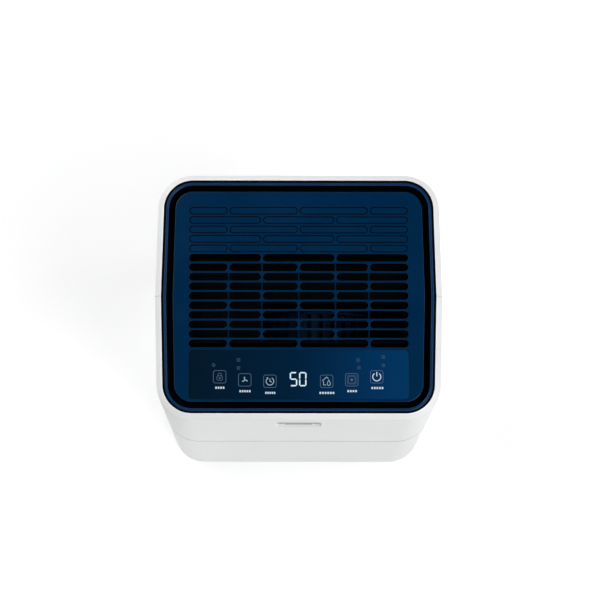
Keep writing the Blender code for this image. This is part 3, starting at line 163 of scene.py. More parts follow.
def quarter(inset, seam, fine=26):
    """A quarter of the outline for several insets at once: an array of inset x point x (x, y).

    The side runs straight from the seam, x = width / 2 - taper * y, and then round the corner on an arc of
    radius corner - inset. Extra points close to the arc's ends keep the shading of the flats flat.
    """
    inset = np.atleast_1d(np.asarray(inset, float))[:, None]
    slant = math.sqrt(1 + TAPER ** 2)
    centre_y = DEPTH / 2 - CORNER
    centre_x = WIDTH / 2 - TAPER * centre_y - CORNER * slant
    side_y = np.array([seam, seam + 0.8 * MM, centre_y - 1.5 * MM])
    side = np.stack(np.broadcast_arrays(WIDTH / 2 - TAPER * side_y - inset * slant, side_y), -1)
    a = np.linspace(math.atan(TAPER), math.pi / 2, fine + 1)
    arc = np.stack([centre_x + (CORNER - inset) * np.cos(a), centre_y + (CORNER - inset) * np.sin(a)], -1)
    flat_x = np.array([centre_x - 1.5 * MM])
    flat = np.stack(np.broadcast_arrays(flat_x + 0 * inset, DEPTH / 2 - inset), -1)
    return np.concatenate([side, arc, flat], 1)


def half_outline(inset, seam, rear, middle=()):
    """Half of the outline, from the +X seam to the -X seam. middle holds more x positions on its flat."""
    right = quarter(inset, seam)
    left = right[:, ::-1] * np.array([-1.0, 1.0])
    parts = [right, left]
    if len(middle):
        x = np.asarray(middle, float)
        rows = np.atleast_1d(np.asarray(inset, float))[:, None]
        parts.insert(1, np.stack(np.broadcast_arrays(x + 0 * rows, DEPTH / 2 - rows), -1))
    line = np.concatenate(parts, 1)
    return line if rear else line * np.array([1.0, -1.0])


def full_outline(inset):
    """The whole outline, closed, anticlockwise."""
    rear = half_outline(inset, 0.0, True)
    front = half_outline(inset, 0.0, False)[:, ::-1]
    return np.concatenate([rear, front[:, 1:-1]], 1)


print("case:", [round(v / MM, 1) for v in (WIDTH, DEPTH, HEIGHT)], "mm, seam at", round(SEAM / MM, 1))

# %% [markdown]
# ## From points to pieces
# A grid of points becomes a mesh of four-sided faces. Where a profile is closed and the path is closed, the
# result has no ends. Where the path is open, its two ends get a cap. Each piece is then shaded
# smooth, with normals weighted by face area, so that broad flats stay flat next to their small fillets.

# %% Mesh helpers
def grid_faces(rows, columns, close_rows, close_columns, start=0):
    """The four-sided faces of a grid of points, as whole arrays of indices."""
    r = np.arange(rows if close_rows else rows - 1)
    c = np.arange(columns if close_columns else columns - 1)
    r, c = np.meshgrid(r, c, indexing="ij")
    r1, c1 = (r + 1) % rows, (c + 1) % columns
    quads = np.stack([r * columns + c, r * columns + c1, r1 * columns + c1, r1 * columns + c], -1)
    return (quads.reshape(-1, 4) + start).tolist()


def mesh_of(name, points, faces, material=None, merge=2e-6):
    """Makes an object from points and faces, joins doubled points and turns every face outwards."""
    mesh = bpy.data.meshes.new(name)
    mesh.from_pydata(np.asarray(points, float).reshape(-1, 3).tolist(), [], faces)
    work = bmesh.new()
    work.from_mesh(mesh)
    bmesh.ops.remove_doubles(work, verts=work.verts, dist=merge)
    bmesh.ops.dissolve_degenerate(work, edges=work.edges, dist=1e-7)
    bmesh.ops.recalc_face_normals(work, faces=work.faces)
    work.to_mesh(mesh)
    work.free()
    piece = bpy.data.objects.new(name, mesh)
    bpy.context.scene.collection.objects.link(piece)
    if material is not None:
        mesh.materials.append(material)
    return piece


def swept(name, grid, close_rows=True, close_columns=False, material=None):
    """A solid from a grid whose rows follow a profile and whose columns follow a path, capped where it is open."""
    grid = np.asarray(grid, float)
    rows, columns = grid.shape[:2]
    faces = grid_faces(rows, columns, close_rows, close_columns)
    if close_rows and not close_columns:
        first = [r * columns for r in range(rows)]
        faces += [first, [i + columns - 1 for i in first]]
    if close_columns and not close_rows:
        faces += [list(range(columns)), list(range((rows - 1) * columns, rows * columns))]
    return mesh_of(name, grid, faces, material)


def at_height(outline, z):
    """A flat outline, as x and y, with one height added."""
    return np.column_stack([outline, np.full(len(outline), z)])


def with_heights(plan, z):
    """A grid of plan points, each row at its own height."""
    return np.dstack([plan, np.broadcast_to(z[:, None], plan.shape[:2])])


def joined_mesh(pieces, name):
    """Several solids that don't touch, as one object."""
    whole = bmesh.new()
    for piece in pieces:
        whole.from_mesh(piece.data)
        bpy.data.objects.remove(piece)
    mesh = bpy.data.meshes.new(name)
    whole.to_mesh(mesh)
    whole.free()
    made = bpy.data.objects.new(name, mesh)
    bpy.context.scene.collection.objects.link(made)
    return made


def settle(piece, sharp=38):
    """Applies the modifiers, shades smooth with sharp creases, and weights the normals by face area."""
    graph = bpy.context.evaluated_depsgraph_get()
    mesh = bpy.data.meshes.new_from_object(piece.evaluated_get(graph))
    piece.modifiers.clear()
    piece.data = mesh
    mesh.shade_smooth()
    mesh.set_sharp_from_angle(angle=math.radians(sharp))
    even = piece.modifiers.new("Even normals", "WEIGHTED_NORMAL")
    even.mode = "FACE_AREA"
    even.weight = 60
    even.keep_sharp = True
    bpy.context.view_layer.update()
    graph = bpy.context.evaluated_depsgraph_get()
    finished = bpy.data.meshes.new_from_object(piece.evaluated_get(graph))
    piece.modifiers.clear()
    piece.data = finished
    return piece


def boolean(piece, other, operation="DIFFERENCE"):
    """Cuts or joins another solid and removes it, with the result settled into the piece."""
    step = piece.modifiers.new(operation, "BOOLEAN")
    step.operation = operation
    step.solver = "EXACT"
    step.object = other
    bpy.context.view_layer.update()
    graph = bpy.context.evaluated_depsgraph_get()
    mesh = bpy.data.meshes.new_from_object(piece.evaluated_get(graph))
    piece.modifiers.clear()
    piece.data = mesh
    bpy.data.objects.remove(other)
    return piece


def finish_piece(piece, material, body, slot, *nodes):
    """Gives a piece its material and its body, and hides the frame nodes that it stands for; slot is not used."""
    piece.data.materials.clear()
    piece.data.materials.append(material)
    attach(piece, body)
    if nodes:
        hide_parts(*nodes)
    print(f"{piece.name}: {len(piece.data.polygons)} faces on {body}")
    return piece


def flat_faces(outer, holes):
    """Faces that fill a flat outline round its holes, by a constrained Delaunay triangulation.

    Triangles whose middle lies inside a hole are left out. Returns triangles as indices into the outline's
    points followed by each hole's points.
    """
    loops = [outer] + list(holes)
    points = np.concatenate(loops)
    edges, start = [], 0
    for loop in loops:
        n = len(loop)
        edges += [(start + i, start + (i + 1) % n) for i in range(n)]
        start += n
    scale = 1000.0
    found = delaunay_2d_cdt([Vector(p * scale) for p in points], edges, [], 1, 1e-7)
    corners, triangles, origins = found[0], found[2], found[3]
    index = np.array([o[0] if o else -1 for o in origins])
    triangles = np.array(triangles)
    middles = np.array(corners)[triangles].mean(1) / scale
    keep = inside(middles, outer)
    for hole in holes:
        low, high = hole.min(0), hole.max(0)
        near = np.all((middles > low) & (middles < high), 1) & keep
        keep[near] = ~inside(middles[near], hole)
    return index[triangles[keep]]


def inside(points, loop):
    """Which points lie inside a closed loop: a ray towards +X crosses the loop an odd number of times."""
    if not len(points):
        return np.zeros(0, bool)
    a, b = loop, np.roll(loop, -1, 0)
    y = points[:, 1][:, None]
    spans = (a[:, 1] > y) != (b[:, 1] > y)
    rise = np.where(b[:, 1] == a[:, 1], 1.0, b[:, 1] - a[:, 1])
    x = a[:, 0] + (y - a[:, 1]) * (b[:, 0] - a[:, 0]) / rise
    return (spans & (x > points[:, 0][:, None])).sum(1) % 2 == 1


def holed_plate(name, outer, edge, holes, place=None, material=None):
    """A plate with holes whose edges are all rounded.

    outer(grow) gives the outline and edge its section as (grow, height) rows from the top's rim to the
    underside's rim. Each hole is (outline function, section), with the section's rows as (grow, height), and
    a hole whose last height is above the underside is a shallow pocket with a floor.
    """
    rows = [[(outer(g), h) for g, h in edge]]
    rows += [[(outline(g), h) for g, h in section] for outline, section in holes]
    points, faces, tops, bottoms = [], [], [], []
    underside = edge[-1][1]
    count = 0
    for ring in rows:
        n = len(ring[0][0])
        for loop, height in ring:
            points.append(at_height(loop, height))
        faces += grid_faces(len(ring), n, False, True, count)
        tops.append((ring[0][0], count))
        last = count + (len(ring) - 1) * n
        if abs(ring[-1][1] - underside) < 1e-9:
            bottoms.append((ring[-1][0], last))
        else:
            faces.append(list(range(last, last + n)))
        count += len(ring) * n
    for caps in (tops, bottoms):
        where = np.concatenate([np.arange(start, start + len(loop)) for loop, start in caps])
        faces += where[flat_faces(caps[0][0], [loop for loop, _ in caps[1:]])].tolist()
    points = np.concatenate(points)
    if place is not None:
        points = points @ np.array(place)[:3, :3].T + np.array(place)[:3, 3]
    return mesh_of(name, points, faces, material)


def edge_rows(top, radius, steps=4, sign=1.0):
    """Rows of a rounded edge that turns down from the top: (grow, height) on a quarter circle."""
    a = np.linspace(0, math.pi / 2, steps + 1)
    return [(sign * radius * (math.sin(t) - 1), top - radius * (1 - math.cos(t))) for t in a]


print("mesh helpers ready")

# %% [markdown]
# ## Finishes
# A finish starts from what the real surface is and how it was made. Colours are written as they look on a
# screen and turned to linear light by one function. Patterns use the piece's own coordinates in metres, so
# a scale is one over the size of the detail: 400 gives detail of 2.5 mm.

# %% Tools for finishes
def linear(hex_colour, alpha=1.0):
    """sRGB hex to linear light: below 0.04045 divide by 12.92, above it ((c + 0.055) / 1.055) to the power 2.4."""
    c = np.array([int(hex_colour[i:i + 2], 16) / 255 for i in (1, 3, 5)])
    light = np.where(c <= 0.04045, c / 12.92, ((c + 0.055) / 1.055) ** 2.4)
    return (*light.tolist(), alpha)


def add(tree, kind, settings=None, **inputs):
    """Adds a node. settings are its own options; inputs are its sockets by name, with _ for a space, each a
    value or a (node, output name) pair to link from."""
    node = tree.nodes.new(kind)
    for key, value in (settings or {}).items():
        setattr(node, key, value)
    for key, value in inputs.items():
        socket = node.inputs[key.replace("_", " ")]
        if isinstance(value, tuple) and len(value) == 2 and hasattr(value[0], "outputs"):
            tree.links.new(value[0].outputs[value[1]], socket)
        else:
            socket.default_value = value
    return node


def start_finish(name, **constants):
    """A new material with the constants set on its Principled shader, and its Object coordinates."""
    material = bpy.data.materials.new(name)
    material.use_nodes = True
    tree = material.node_tree
    shader = tree.nodes["Principled BSDF"]
    for key, value in constants.items():
        shader.inputs[key.replace("_", " ")].default_value = value
    where = tree.nodes.new("ShaderNodeTexCoord")
    return material, tree, shader, (where, "Object")


def connect(tree, node, output, shader, socket):
    tree.links.new(node.outputs[output], shader.inputs[socket])


def colours(node, *stops):
    """Sets a colour ramp's stops, each a (position, hex colour) pair."""
    ramp = node.color_ramp
    while len(ramp.elements) < len(stops):
        ramp.elements.new(1.0)
    for element, (position, colour) in zip(ramp.elements, stops):
        element.position = position
        element.color = linear(colour)


print("white plastic is", [round(c, 3) for c in linear("#EEEFEF")[:3]], "in linear light")

# %% [markdown]
# ### White ABS
# The case is injection-moulded ABS with a fine spark-eroded texture. The grain itself is about 0.2 mm
# and can't be seen from this far, so it is drawn at 1.2 mm and very shallow: enough to break up the
# highlights. A slow change in roughness over a few centimetres is what a large moulding always has.

# %% White ABS
def moulded_abs(name, low, high, roughness, grain_mm=1.2, depth_mm=0.02, ior=1.53, gloss=0.5):
    """Textured moulded plastic between two close shades, with a slow change of roughness and a fine grain."""
    material, tree, shader, place = start_finish(name, IOR=ior, Specular_IOR_Level=gloss)
    slow = add(tree, "ShaderNodeTexNoise", Vector=place, Scale=1 / (45 * MM), Detail=3.0, Roughness=0.55)
    shade = add(tree, "ShaderNodeValToRGB", Fac=(slow, "Fac"))
    colours(shade, (0.3, low), (0.7, high))
    rough = add(tree, "ShaderNodeMapRange", Value=(slow, "Fac"), From_Min=0.3, From_Max=0.7)
    rough.inputs["To Min"].default_value = roughness - 0.035
    rough.inputs["To Max"].default_value = roughness + 0.035
    grain = add(tree, "ShaderNodeTexNoise", Vector=place, Scale=1 / (grain_mm * MM), Detail=2.0, Roughness=0.6)
    bump = add(tree, "ShaderNodeBump", Height=(grain, "Fac"), Strength=0.35, Distance=depth_mm * MM)
    connect(tree, shade, "Color", shader, "Base Color")
    connect(tree, rough, "Result", shader, "Roughness")
    connect(tree, bump, "Normal", shader, "Normal")
    return material


white_abs = moulded_abs("White moulded ABS", "#ECEDEE", "#EFF0F0", 0.38)
print(white_abs.name)

# %% [markdown]
# ### Dark blue and black plastics
# The top is the same kind of moulding, coloured dark blue in the mass and polished more, so its highlights are
# tighter.
# The parts below it in the air path are black and duller; the same black is painted shade in the channel and the
# grooves.

# %% Blue and black plastics
blue_pc = moulded_abs("Dark blue gloss polycarbonate", "#002240", "#002443", 0.2, 0.9, 0.001, 1.58, 0.15)
blue_ring = moulded_abs("Dark blue polished polycarbonate", "#052A4E", "#062C52", 0.2, 0.9, 0.001, 1.58, 0.2)
black_abs = moulded_abs("Black moulded ABS", "#040506", "#08090A", 0.5, 1.4, 0.03, 1.53, 0.2)
# Besides the black parts, this near black is painted as shade on the ring, in the rim gap and in the top's grooves.
blue_black_and_painted_shade = moulded_abs("Blue-black ABS and painted shade", "#000203", "#010305", 0.55, 1.4, 0.03, 1.53, 0.03)
blade_abs = moulded_abs("Slate moulded ABS", "#04182A", "#062036", 0.5, 1.4, 0.03, 1.53, 0.05)
tyre_pu = moulded_abs("Grey polyurethane tread", "#3A3C3F", "#45474A", 0.55, 1.0, 0.03)
# A matt grey put in the finger recess as painted shade under its lip.
recess_painted_shade = moulded_abs("Grey painted recess shade", "#AEB1B2", "#B8BBBC", 0.8, 1.0, 0.05, 1.5, 0.2)
rubber_black = moulded_abs("Black moulded rubber", "#131314", "#1B1B1C", 0.72, 0.8, 0.05, 1.52)
print(blue_pc.name, "/", black_abs.name)

# %% [markdown]
# ### The touch film
# The control strip is a polyester film, printed from behind and laid in its pocket. Its colour runs from
# nearly black at the left end to the case's blue at the right, which is a painted reflection. The surface is
# smooth, so it is the glossiest thing on the top.

# %% Touch film
film_pet, tree, shader, place = start_finish("Printed gloss polyester film", IOR=1.6, Specular_IOR_Level=0.2)
across = add(tree, "ShaderNodeSeparateXYZ", Vector=place)
share = add(tree, "ShaderNodeMapRange", Value=(across, "X"), From_Min=-0.133, From_Max=0.133)
# Painted reflection: darker at the left end, bluer at the right.
film_painted_reflection = add(tree, "ShaderNodeValToRGB", Fac=(share, "Result"))
colours(film_painted_reflection, (0.0, "#001524"), (0.08, "#001628"), (0.5, "#001C35"), (0.85, "#002C52"), (1.0, "#003058"))
speckle = add(tree, "ShaderNodeTexNoise", Vector=place, Scale=1 / (6 * MM), Detail=2.0)
film_rough = add(tree, "ShaderNodeMapRange", Value=(speckle, "Fac"), To_Min=0.15, To_Max=0.23)
connect(tree, film_painted_reflection, "Color", shader, "Base Color")
connect(tree, film_rough, "Result", shader, "Roughness")
print(film_pet.name)

# %% [markdown]
# ## Light from behind the film
# The figures and symbols are clear windows in the film with lamps behind them. A lamp for each would be slow
# and noisy, so the ink itself gives off light, strongest for the figures and weakest for the unlit marks.

# %% Light from behind the film
def lit_print(name, colour, strength):
    """Translucent ink lit from behind, a little uneven as its diodes are."""
    material, tree, shader, place = start_finish(name, Roughness=0.4, Base_Color=linear("#0A1420"))
    shader.inputs["Emission Strength"].default_value = strength
    glow = add(tree, "ShaderNodeTexNoise", Vector=place, Scale=1 / (14 * MM), Detail=1.0)
    shade = add(tree, "ShaderNodeMix", {"data_type": "RGBA"}, Factor=(glow, "Fac"))
    shade.inputs[6].default_value = linear(colour)
    dim = [c * 0.82 for c in linear(colour)[:3]]
    shade.inputs[7].default_value = (*dim, 1.0)
    tree.links.new(shade.outputs[2], shader.inputs["Emission Color"])
    return material


led_white = lit_print("Lit display segment", "#DDF3FF", 1.0)
ink_bright = lit_print("Lit key symbol", "#B9CFE0", 0.8)
ink_white = lit_print("White key print", "#E2EEF8", 0.8)
ink_soft = lit_print("Lit key outline", "#52718F", 0.7)
ink_faint = lit_print("Unlit indicator print", "#34536E", 0.6)
print(led_white.name, "/", ink_soft.name)

# %% [markdown]
# ### Metals and the rest
# Inside are zinc-plated sheet, black enamel on the compressor, mill-finish aluminium fins, drawn copper, woven
# gauze and a circuit board. The fins stand 1.8 mm apart: they are drawn at 2.4 mm, as bright edges
# with painted shade for the dark air between them.

# %% Zinc, enamel and copper
zinc_steel, tree, shader, place = start_finish("Zinc-plated sheet steel", Metallic=1.0, Roughness=0.36)
spangle = add(tree, "ShaderNodeTexVoronoi", Vector=place, Scale=1 / (7 * MM))
zinc_shade = add(tree, "ShaderNodeValToRGB", Fac=(spangle, "Distance"))
colours(zinc_shade, (0.0, "#B4B8BA"), (1.0, "#9A9FA2"))
zinc_rough = add(tree, "ShaderNodeMapRange", Value=(spangle, "Distance"), To_Min=0.28, To_Max=0.46)
connect(tree, zinc_shade, "Color", shader, "Base Color")
connect(tree, zinc_rough, "Result", shader, "Roughness")

enamel_black, tree, shader, place = start_finish("Black stove enamel", IOR=1.5, Roughness=0.3)
peel = add(tree, "ShaderNodeTexNoise", Vector=place, Scale=1 / (3 * MM), Detail=2.0)
enamel_shade = add(tree, "ShaderNodeValToRGB", Fac=(peel, "Fac"))
colours(enamel_shade, (0.3, "#141517"), (0.7, "#1C1D20"))
peel_bump = add(tree, "ShaderNodeBump", Height=(peel, "Fac"), Strength=0.4, Distance=0.05 * MM)
connect(tree, enamel_shade, "Color", shader, "Base Color")
connect(tree, peel_bump, "Normal", shader, "Normal")

copper_tube, tree, shader, place = start_finish("Drawn copper tube", Metallic=1.0, Roughness=0.3)
tarnish = add(tree, "ShaderNodeTexNoise", Vector=place, Scale=1 / (18 * MM), Detail=4.0)
copper_shade = add(tree, "ShaderNodeValToRGB", Fac=(tarnish, "Fac"))
colours(copper_shade, (0.3, "#B8714C"), (0.6, "#C98A63"), (0.8, "#8E5238"))
copper_rough = add(tree, "ShaderNodeMapRange", Value=(tarnish, "Fac"), To_Min=0.24, To_Max=0.44)
connect(tree, copper_shade, "Color", shader, "Base Color")
connect(tree, copper_rough, "Result", shader, "Roughness")
print(zinc_steel.name, "/", enamel_black.name, "/", copper_tube.name)

# %% [markdown]
# ## Fins, can and board
# The parts inside are seen only past the tank or the intake panel. Fins and windings would be thousands of thin
# sheets, so a wave pattern a few millimetres wide stands for them on plain blocks.

# %% Fins, can and board
aluminium_fins, tree, shader, place = start_finish("Mill-finish aluminium fins")
fins = add(tree, "ShaderNodeTexWave", {"bands_direction": "X", "wave_profile": "SIN"}, Vector=place)
fins.inputs["Scale"].default_value = math.pi / 10 / (2.4 * MM)
fin_edge = add(tree, "ShaderNodeMapRange", Value=(fins, "Fac"), From_Min=0.45, From_Max=0.75)
# The dark between the fins is painted shade in the gaps; the light stripes are the fins' own aluminium.
fin_edges_and_gap_shade = add(tree, "ShaderNodeValToRGB", Fac=(fin_edge, "Result"))
colours(fin_edges_and_gap_shade, (0.0, "#0A0B0C"), (1.0, "#BFC3C6"))
fin_bump = add(tree, "ShaderNodeBump", Height=(fin_edge, "Result"), Strength=0.8, Distance=0.6 * MM)
connect(tree, fin_edges_and_gap_shade, "Color", shader, "Base Color")
connect(tree, fin_edge, "Result", shader, "Metallic")
connect(tree, fin_bump, "Normal", shader, "Normal")
shader.inputs["Roughness"].default_value = 0.42

aluminium_can, tree, shader, place = start_finish("Drawn aluminium can", Metallic=1.0, Roughness=0.32)
drawn = add(tree, "ShaderNodeMapping", Vector=place)
drawn.inputs["Scale"].default_value = (1.0, 1.0, 0.03)
lines = add(tree, "ShaderNodeTexNoise", Vector=(drawn, "Vector"), Scale=1 / (1.1 * MM), Detail=2.0)
can_shade = add(tree, "ShaderNodeValToRGB", Fac=(lines, "Fac"))
colours(can_shade, (0.3, "#B9BCBF"), (0.7, "#CDD0D2"))
can_rough = add(tree, "ShaderNodeMapRange", Value=(lines, "Fac"), To_Min=0.26, To_Max=0.42)
connect(tree, can_shade, "Color", shader, "Base Color")
connect(tree, can_rough, "Result", shader, "Roughness")

board_mask, tree, shader, place = start_finish("Circuit board solder mask", IOR=1.5, Roughness=0.28)
tracks = add(tree, "ShaderNodeTexBrick", Vector=place, Scale=1 / (9 * MM))
tracks.inputs["Color1"].default_value = linear("#0C4A28")
tracks.inputs["Color2"].default_value = linear("#0A3F22")
tracks.inputs["Mortar"].default_value = linear("#1E6B3F")
tracks.inputs["Mortar Size"].default_value = 0.05
connect(tree, tracks, "Color", shader, "Base Color")
print(aluminium_fins.name, "/", aluminium_can.name, "/", board_mask.name)

# %% [markdown]
# ### Tank plastic and filter gauze
# The bucket is grey translucent SAN, so the water can be seen in it. The filter is a black polypropylene
# gauze: its threads are 0.8 mm apart and are drawn at 1.6 mm, as two crossing sets of lines.

# %% Tank plastic and gauze
smoke_san, tree, shader, place = start_finish("Smoked translucent SAN", IOR=1.57)
shader.inputs["Transmission Weight"].default_value = 0.55
cloudy = add(tree, "ShaderNodeTexNoise", Vector=place, Scale=1 / (30 * MM), Detail=3.0)
smoke_shade = add(tree, "ShaderNodeValToRGB", Fac=(cloudy, "Fac"))
colours(smoke_shade, (0.3, "#8E9AA2"), (0.7, "#A2ADB4"))
smoke_rough = add(tree, "ShaderNodeMapRange", Value=(cloudy, "Fac"), To_Min=0.16, To_Max=0.3)
connect(tree, smoke_shade, "Color", shader, "Base Color")
connect(tree, smoke_rough, "Result", shader, "Roughness")

gauze_pp, tree, shader, place = start_finish("Woven polypropylene gauze", IOR=1.49, Roughness=0.6)
THREAD = 1.6 * MM
warp = add(tree, "ShaderNodeTexWave", {"bands_direction": "X"}, Vector=place, Scale=math.pi / 10 / THREAD)
weft = add(tree, "ShaderNodeTexWave", {"bands_direction": "Z"}, Vector=place, Scale=math.pi / 10 / THREAD)
weave = add(tree, "ShaderNodeMath", {"operation": "MAXIMUM"})
tree.links.new(warp.outputs["Fac"], weave.inputs[0])
tree.links.new(weft.outputs["Fac"], weave.inputs[1])
weave_shade = add(tree, "ShaderNodeValToRGB", Fac=(weave, "Value"))
colours(weave_shade, (0.55, "#060607"), (0.85, "#26282B"))
weave_bump = add(tree, "ShaderNodeBump", Height=(weave, "Value"), Strength=0.7, Distance=0.3 * MM)
connect(tree, weave_shade, "Color", shader, "Base Color")
connect(tree, weave_bump, "Normal", shader, "Normal")
print(smoke_san.name, "/", gauze_pp.name)

# %% [markdown]
# ## Floor and light
# The floor is pale and plain, and glows a little, as a lit acrylic table does. A plane with an ordinary
# material would do, but the faint glow keeps it white under the object's own soft shadow.

# %% Floor
floor_paint, tree, shader, place = start_finish("Pale matt studio floor", IOR=1.4, Roughness=0.9)
mottle = add(tree, "ShaderNodeTexNoise", Vector=place, Scale=1 / (90 * MM), Detail=3.0)
floor_shade = add(tree, "ShaderNodeValToRGB", Fac=(mottle, "Fac"))
colours(floor_shade, (0.3, "#F7F7F7"), (0.7, "#F9F9F9"))
connect(tree, floor_shade, "Color", shader, "Base Color")
shader.inputs["Emission Color"].default_value = linear("#FFFFFF")
shader.inputs["Emission Strength"].default_value = 0.22

FLOOR_HALF = 3.0
floor_points = np.array([(-1, -1, 0), (1, -1, 0), (1, 1, 0), (-1, 1, 0)]) * FLOOR_HALF
floor_mesh = bpy.data.meshes.new("studio_floor")
floor_mesh.from_pydata(floor_points.tolist(), [], [(0, 1, 2, 3)])
floor_mesh.materials.append(floor_paint)
floor = bpy.data.objects.new("studio_floor", floor_mesh)
bpy.context.scene.collection.objects.link(floor)
bpy.context.scene.view_settings.view_transform = "Standard"
print("floor:", FLOOR_HALF * 2, "m square")

# %% [markdown]
# ## Light panels
# Soft light comes from large panels all round, as in a light tent. The polished dark top faces the lens like a
# mirror, so what is straight overhead stays dark: the panels stand lower and light the top at a slant. More of
# the light comes from the right and the front right, so that corner turns lighter than the left one. One
# function places a panel by two angles, which is easier to tune than three coordinates.


# %% Light panels
def light_panel(name, watts, size, azimuth, elevation, distance=2.6, aim=(0, 0, 0.3)):
    """A square panel of light on a sphere: azimuth from +X towards +Y, elevation up from the floor."""
    data = bpy.data.lights.new(name, "AREA")
    data.shape = "SQUARE"
    data.size = size
    data.energy = watts
    panel = bpy.data.objects.new(name, data)
    a, e = math.radians(azimuth), math.radians(elevation)
    ray = Vector((math.cos(a) * math.cos(e), math.sin(a) * math.cos(e), math.sin(e)))
    panel.location = Vector(aim) + ray * distance
    panel.rotation_euler = ray.to_track_quat("Z", "Y").to_euler()
    bpy.context.scene.collection.objects.link(panel)
    return panel


light_panel("panel_right", 17, 1.3, 0, 50)
light_panel("panel_front_right_low", 10, 1.3, 315, 30)
light_panel("panel_front_right", 23.5, 1.3, 315, 50)
light_panel("panel_front_high", 9, 1.3, 270, 68)
light_panel("panel_rear", 6, 1.3, 90, 30)
light_panel("panel_rear_left_low", 9, 1.3, 135, 30)
light_panel("panel_rear_left", 26, 1.3, 135, 50)
light_panel("panel_left", 10, 1.3, 180, 50)

# The sky is dark overhead and grows brighter towards the horizon.
world = bpy.data.worlds.new("studio")
bpy.context.scene.world = world
world.use_nodes = True
tree = world.node_tree
sky = tree.nodes["Background"]
direction = tree.nodes.new("ShaderNodeTexCoord")
up = add(tree, "ShaderNodeSeparateXYZ", Vector=(direction, "Generated"))
glow = add(tree, "ShaderNodeValToRGB", Fac=(up, "Z"))
colours(glow, (0.0, "#FFFFFF"), (0.62, "#D8DADC"), (0.86, "#101214"), (1.0, "#060708"))
tree.links.new(glow.outputs["Color"], sky.inputs["Color"])
sky.inputs["Strength"].default_value = 0.02

# %% [markdown]
# ## Front of the case
# The upper front half is one moulding: a wall with the rim folded inwards at the top. The rim slopes up to a
# narrow flat land. Its section is carried round half of the outline. The finger recess under the rim is part of
# the same surface: in the middle of the front, the rows of the wall follow the recess instead of the
# flat, so there is no separate cut and its edges stay soft.

# %% Front half with its finger recess
RIM = 7.4 * MM
SLOPE = [(0.0, HEIGHT - 6.2 * MM), (6.6 * MM, HEIGHT)]
SCOOP_HALF, SCOOP_TOP, SCOOP_FALL, SCOOP_DEEP = 28 * MM, 496 * MM, 46 * MM, 11 * MM


def rim_rows():
    """Section from the wall's shoulder over the sloping rim and its land, down the lip and back under it."""
    corners = [(0, HEIGHT - 14 * MM), SLOPE[0], SLOPE[1], (RIM, HEIGHT), (RIM, HEIGHT - 18 * MM)]
    corners += [(RIM - 2 * MM, HEIGHT - 18 * MM), (RIM - 2 * MM, HEIGHT - 3 * MM), (WALL, HEIGHT - 9.2 * MM)]
    radii = [0, 2.4 * MM, 1.2 * MM, 0.4 * MM, 0.4 * MM, 0.4 * MM, 1 * MM, 1.5 * MM]
    return rounded(corners + [(WALL, HEIGHT - 14 * MM)], radii + [0], 5)


def scoop_rows():
    """The recess in section, as (depth, z): up its curved face, under the lip, and round the lip's edge.

    The face is depth = deepest * sin(a) ** 1.6 and z = top - fall * cos(a), with a from 0 to a right angle.
    """
    a = np.linspace(0, math.radians(84), 15)
    face = np.stack([SCOOP_DEEP * np.sin(a) ** 1.6, SCOOP_TOP - SCOOP_FALL * np.cos(a)], 1)
    corners = [tuple(face[-1]), (SCOOP_DEEP, SCOOP_TOP), (0, SCOOP_TOP), (0, SCOOP_TOP + 3 * MM)]
    lip = rounded(corners, [0, 1.5 * MM, 0.9 * MM, 0], 5)
    return np.concatenate([face[:-1], lip])


def refinish(piece, material, chosen):
    """Gives a second finish to the faces whose centres are chosen, as whole arrays; one row is x, y, z."""
    centres = np.empty(len(piece.data.polygons) * 3)
    piece.data.polygons.foreach_get("center", centres)
    x, y, z = centres.reshape(-1, 3).T
    piece.data.materials.append(material)
    piece.data.polygons.foreach_set("material_index", chosen(x, y, z).astype(np.int32))
    piece.data.update()
    print(f"{piece.name}: {int(chosen(x, y, z).sum())} faces in {material.name}")


def front_case():
    """Carries the section round the front, then moves the wall's rows into the recess by its fullness.

    fullness = (1 - |x / half| ** 4) ** 0.5 across the recess, and 0 outside it.
    """
    bottom = SEAM
    scoop = scoop_rows()
    n = len(scoop)
    flat_z = np.linspace(SCOOP_TOP - SCOOP_FALL, SCOOP_TOP + 3 * MM, n)
    start = rounded([(WALL, bottom + 9 * MM), (WALL, bottom), (0, bottom), (0, bottom + 9 * MM)], 0.5 * MM, 4)
    rim = rim_rows()
    back_z = np.array([512, 506, 501, 499, 470, 449, 444, 438, 400]) * MM
    inset = np.concatenate([start[1:, 0], np.zeros(n), rim[:, 0], np.full(len(back_z), WALL)])
    z = np.concatenate([start[1:, 1], flat_z, rim[:, 1], back_z])
    across = np.sin(np.linspace(math.pi / 2, -math.pi / 2, 45)) * (SCOOP_HALF + 0.01 * MM)
    middle = np.concatenate([[60 * MM, 34 * MM], across, [-34 * MM, -60 * MM]])
    plan = half_outline(inset, 0.25 * MM, False, middle)
    grid = with_heights(plan, z)
    on_front = plan[0, :, 1] < -DEPTH / 2 + inset[0] + 0.01 * MM
    x = grid[0, :, 0]
    full = np.where(on_front, np.clip(1 - np.abs(x / SCOOP_HALF) ** 4, 0, 1) ** 0.5, 0)
    first = len(start) - 1
    wall = grid[first:first + n]
    wall[:, :, 1] += scoop[:, 0][:, None] * full
    wall[:, :, 2] += (scoop[:, 1] - flat_z)[:, None] * full
    behind = grid[-len(back_z):]
    push = np.array([0, 0, 0.9, 1, 1, 1, 0.5, 0, 0])[:, None] * (SCOOP_DEEP + 0.3 * MM)
    behind[:, :, 1] += push * np.where(on_front, np.clip((34 * MM - np.abs(x)) / (5 * MM), 0, 1), 0)
    return swept("front_case", grid)


finish_piece(settle(front_case()), white_abs, "housing", "white_plastic", "front_shell")
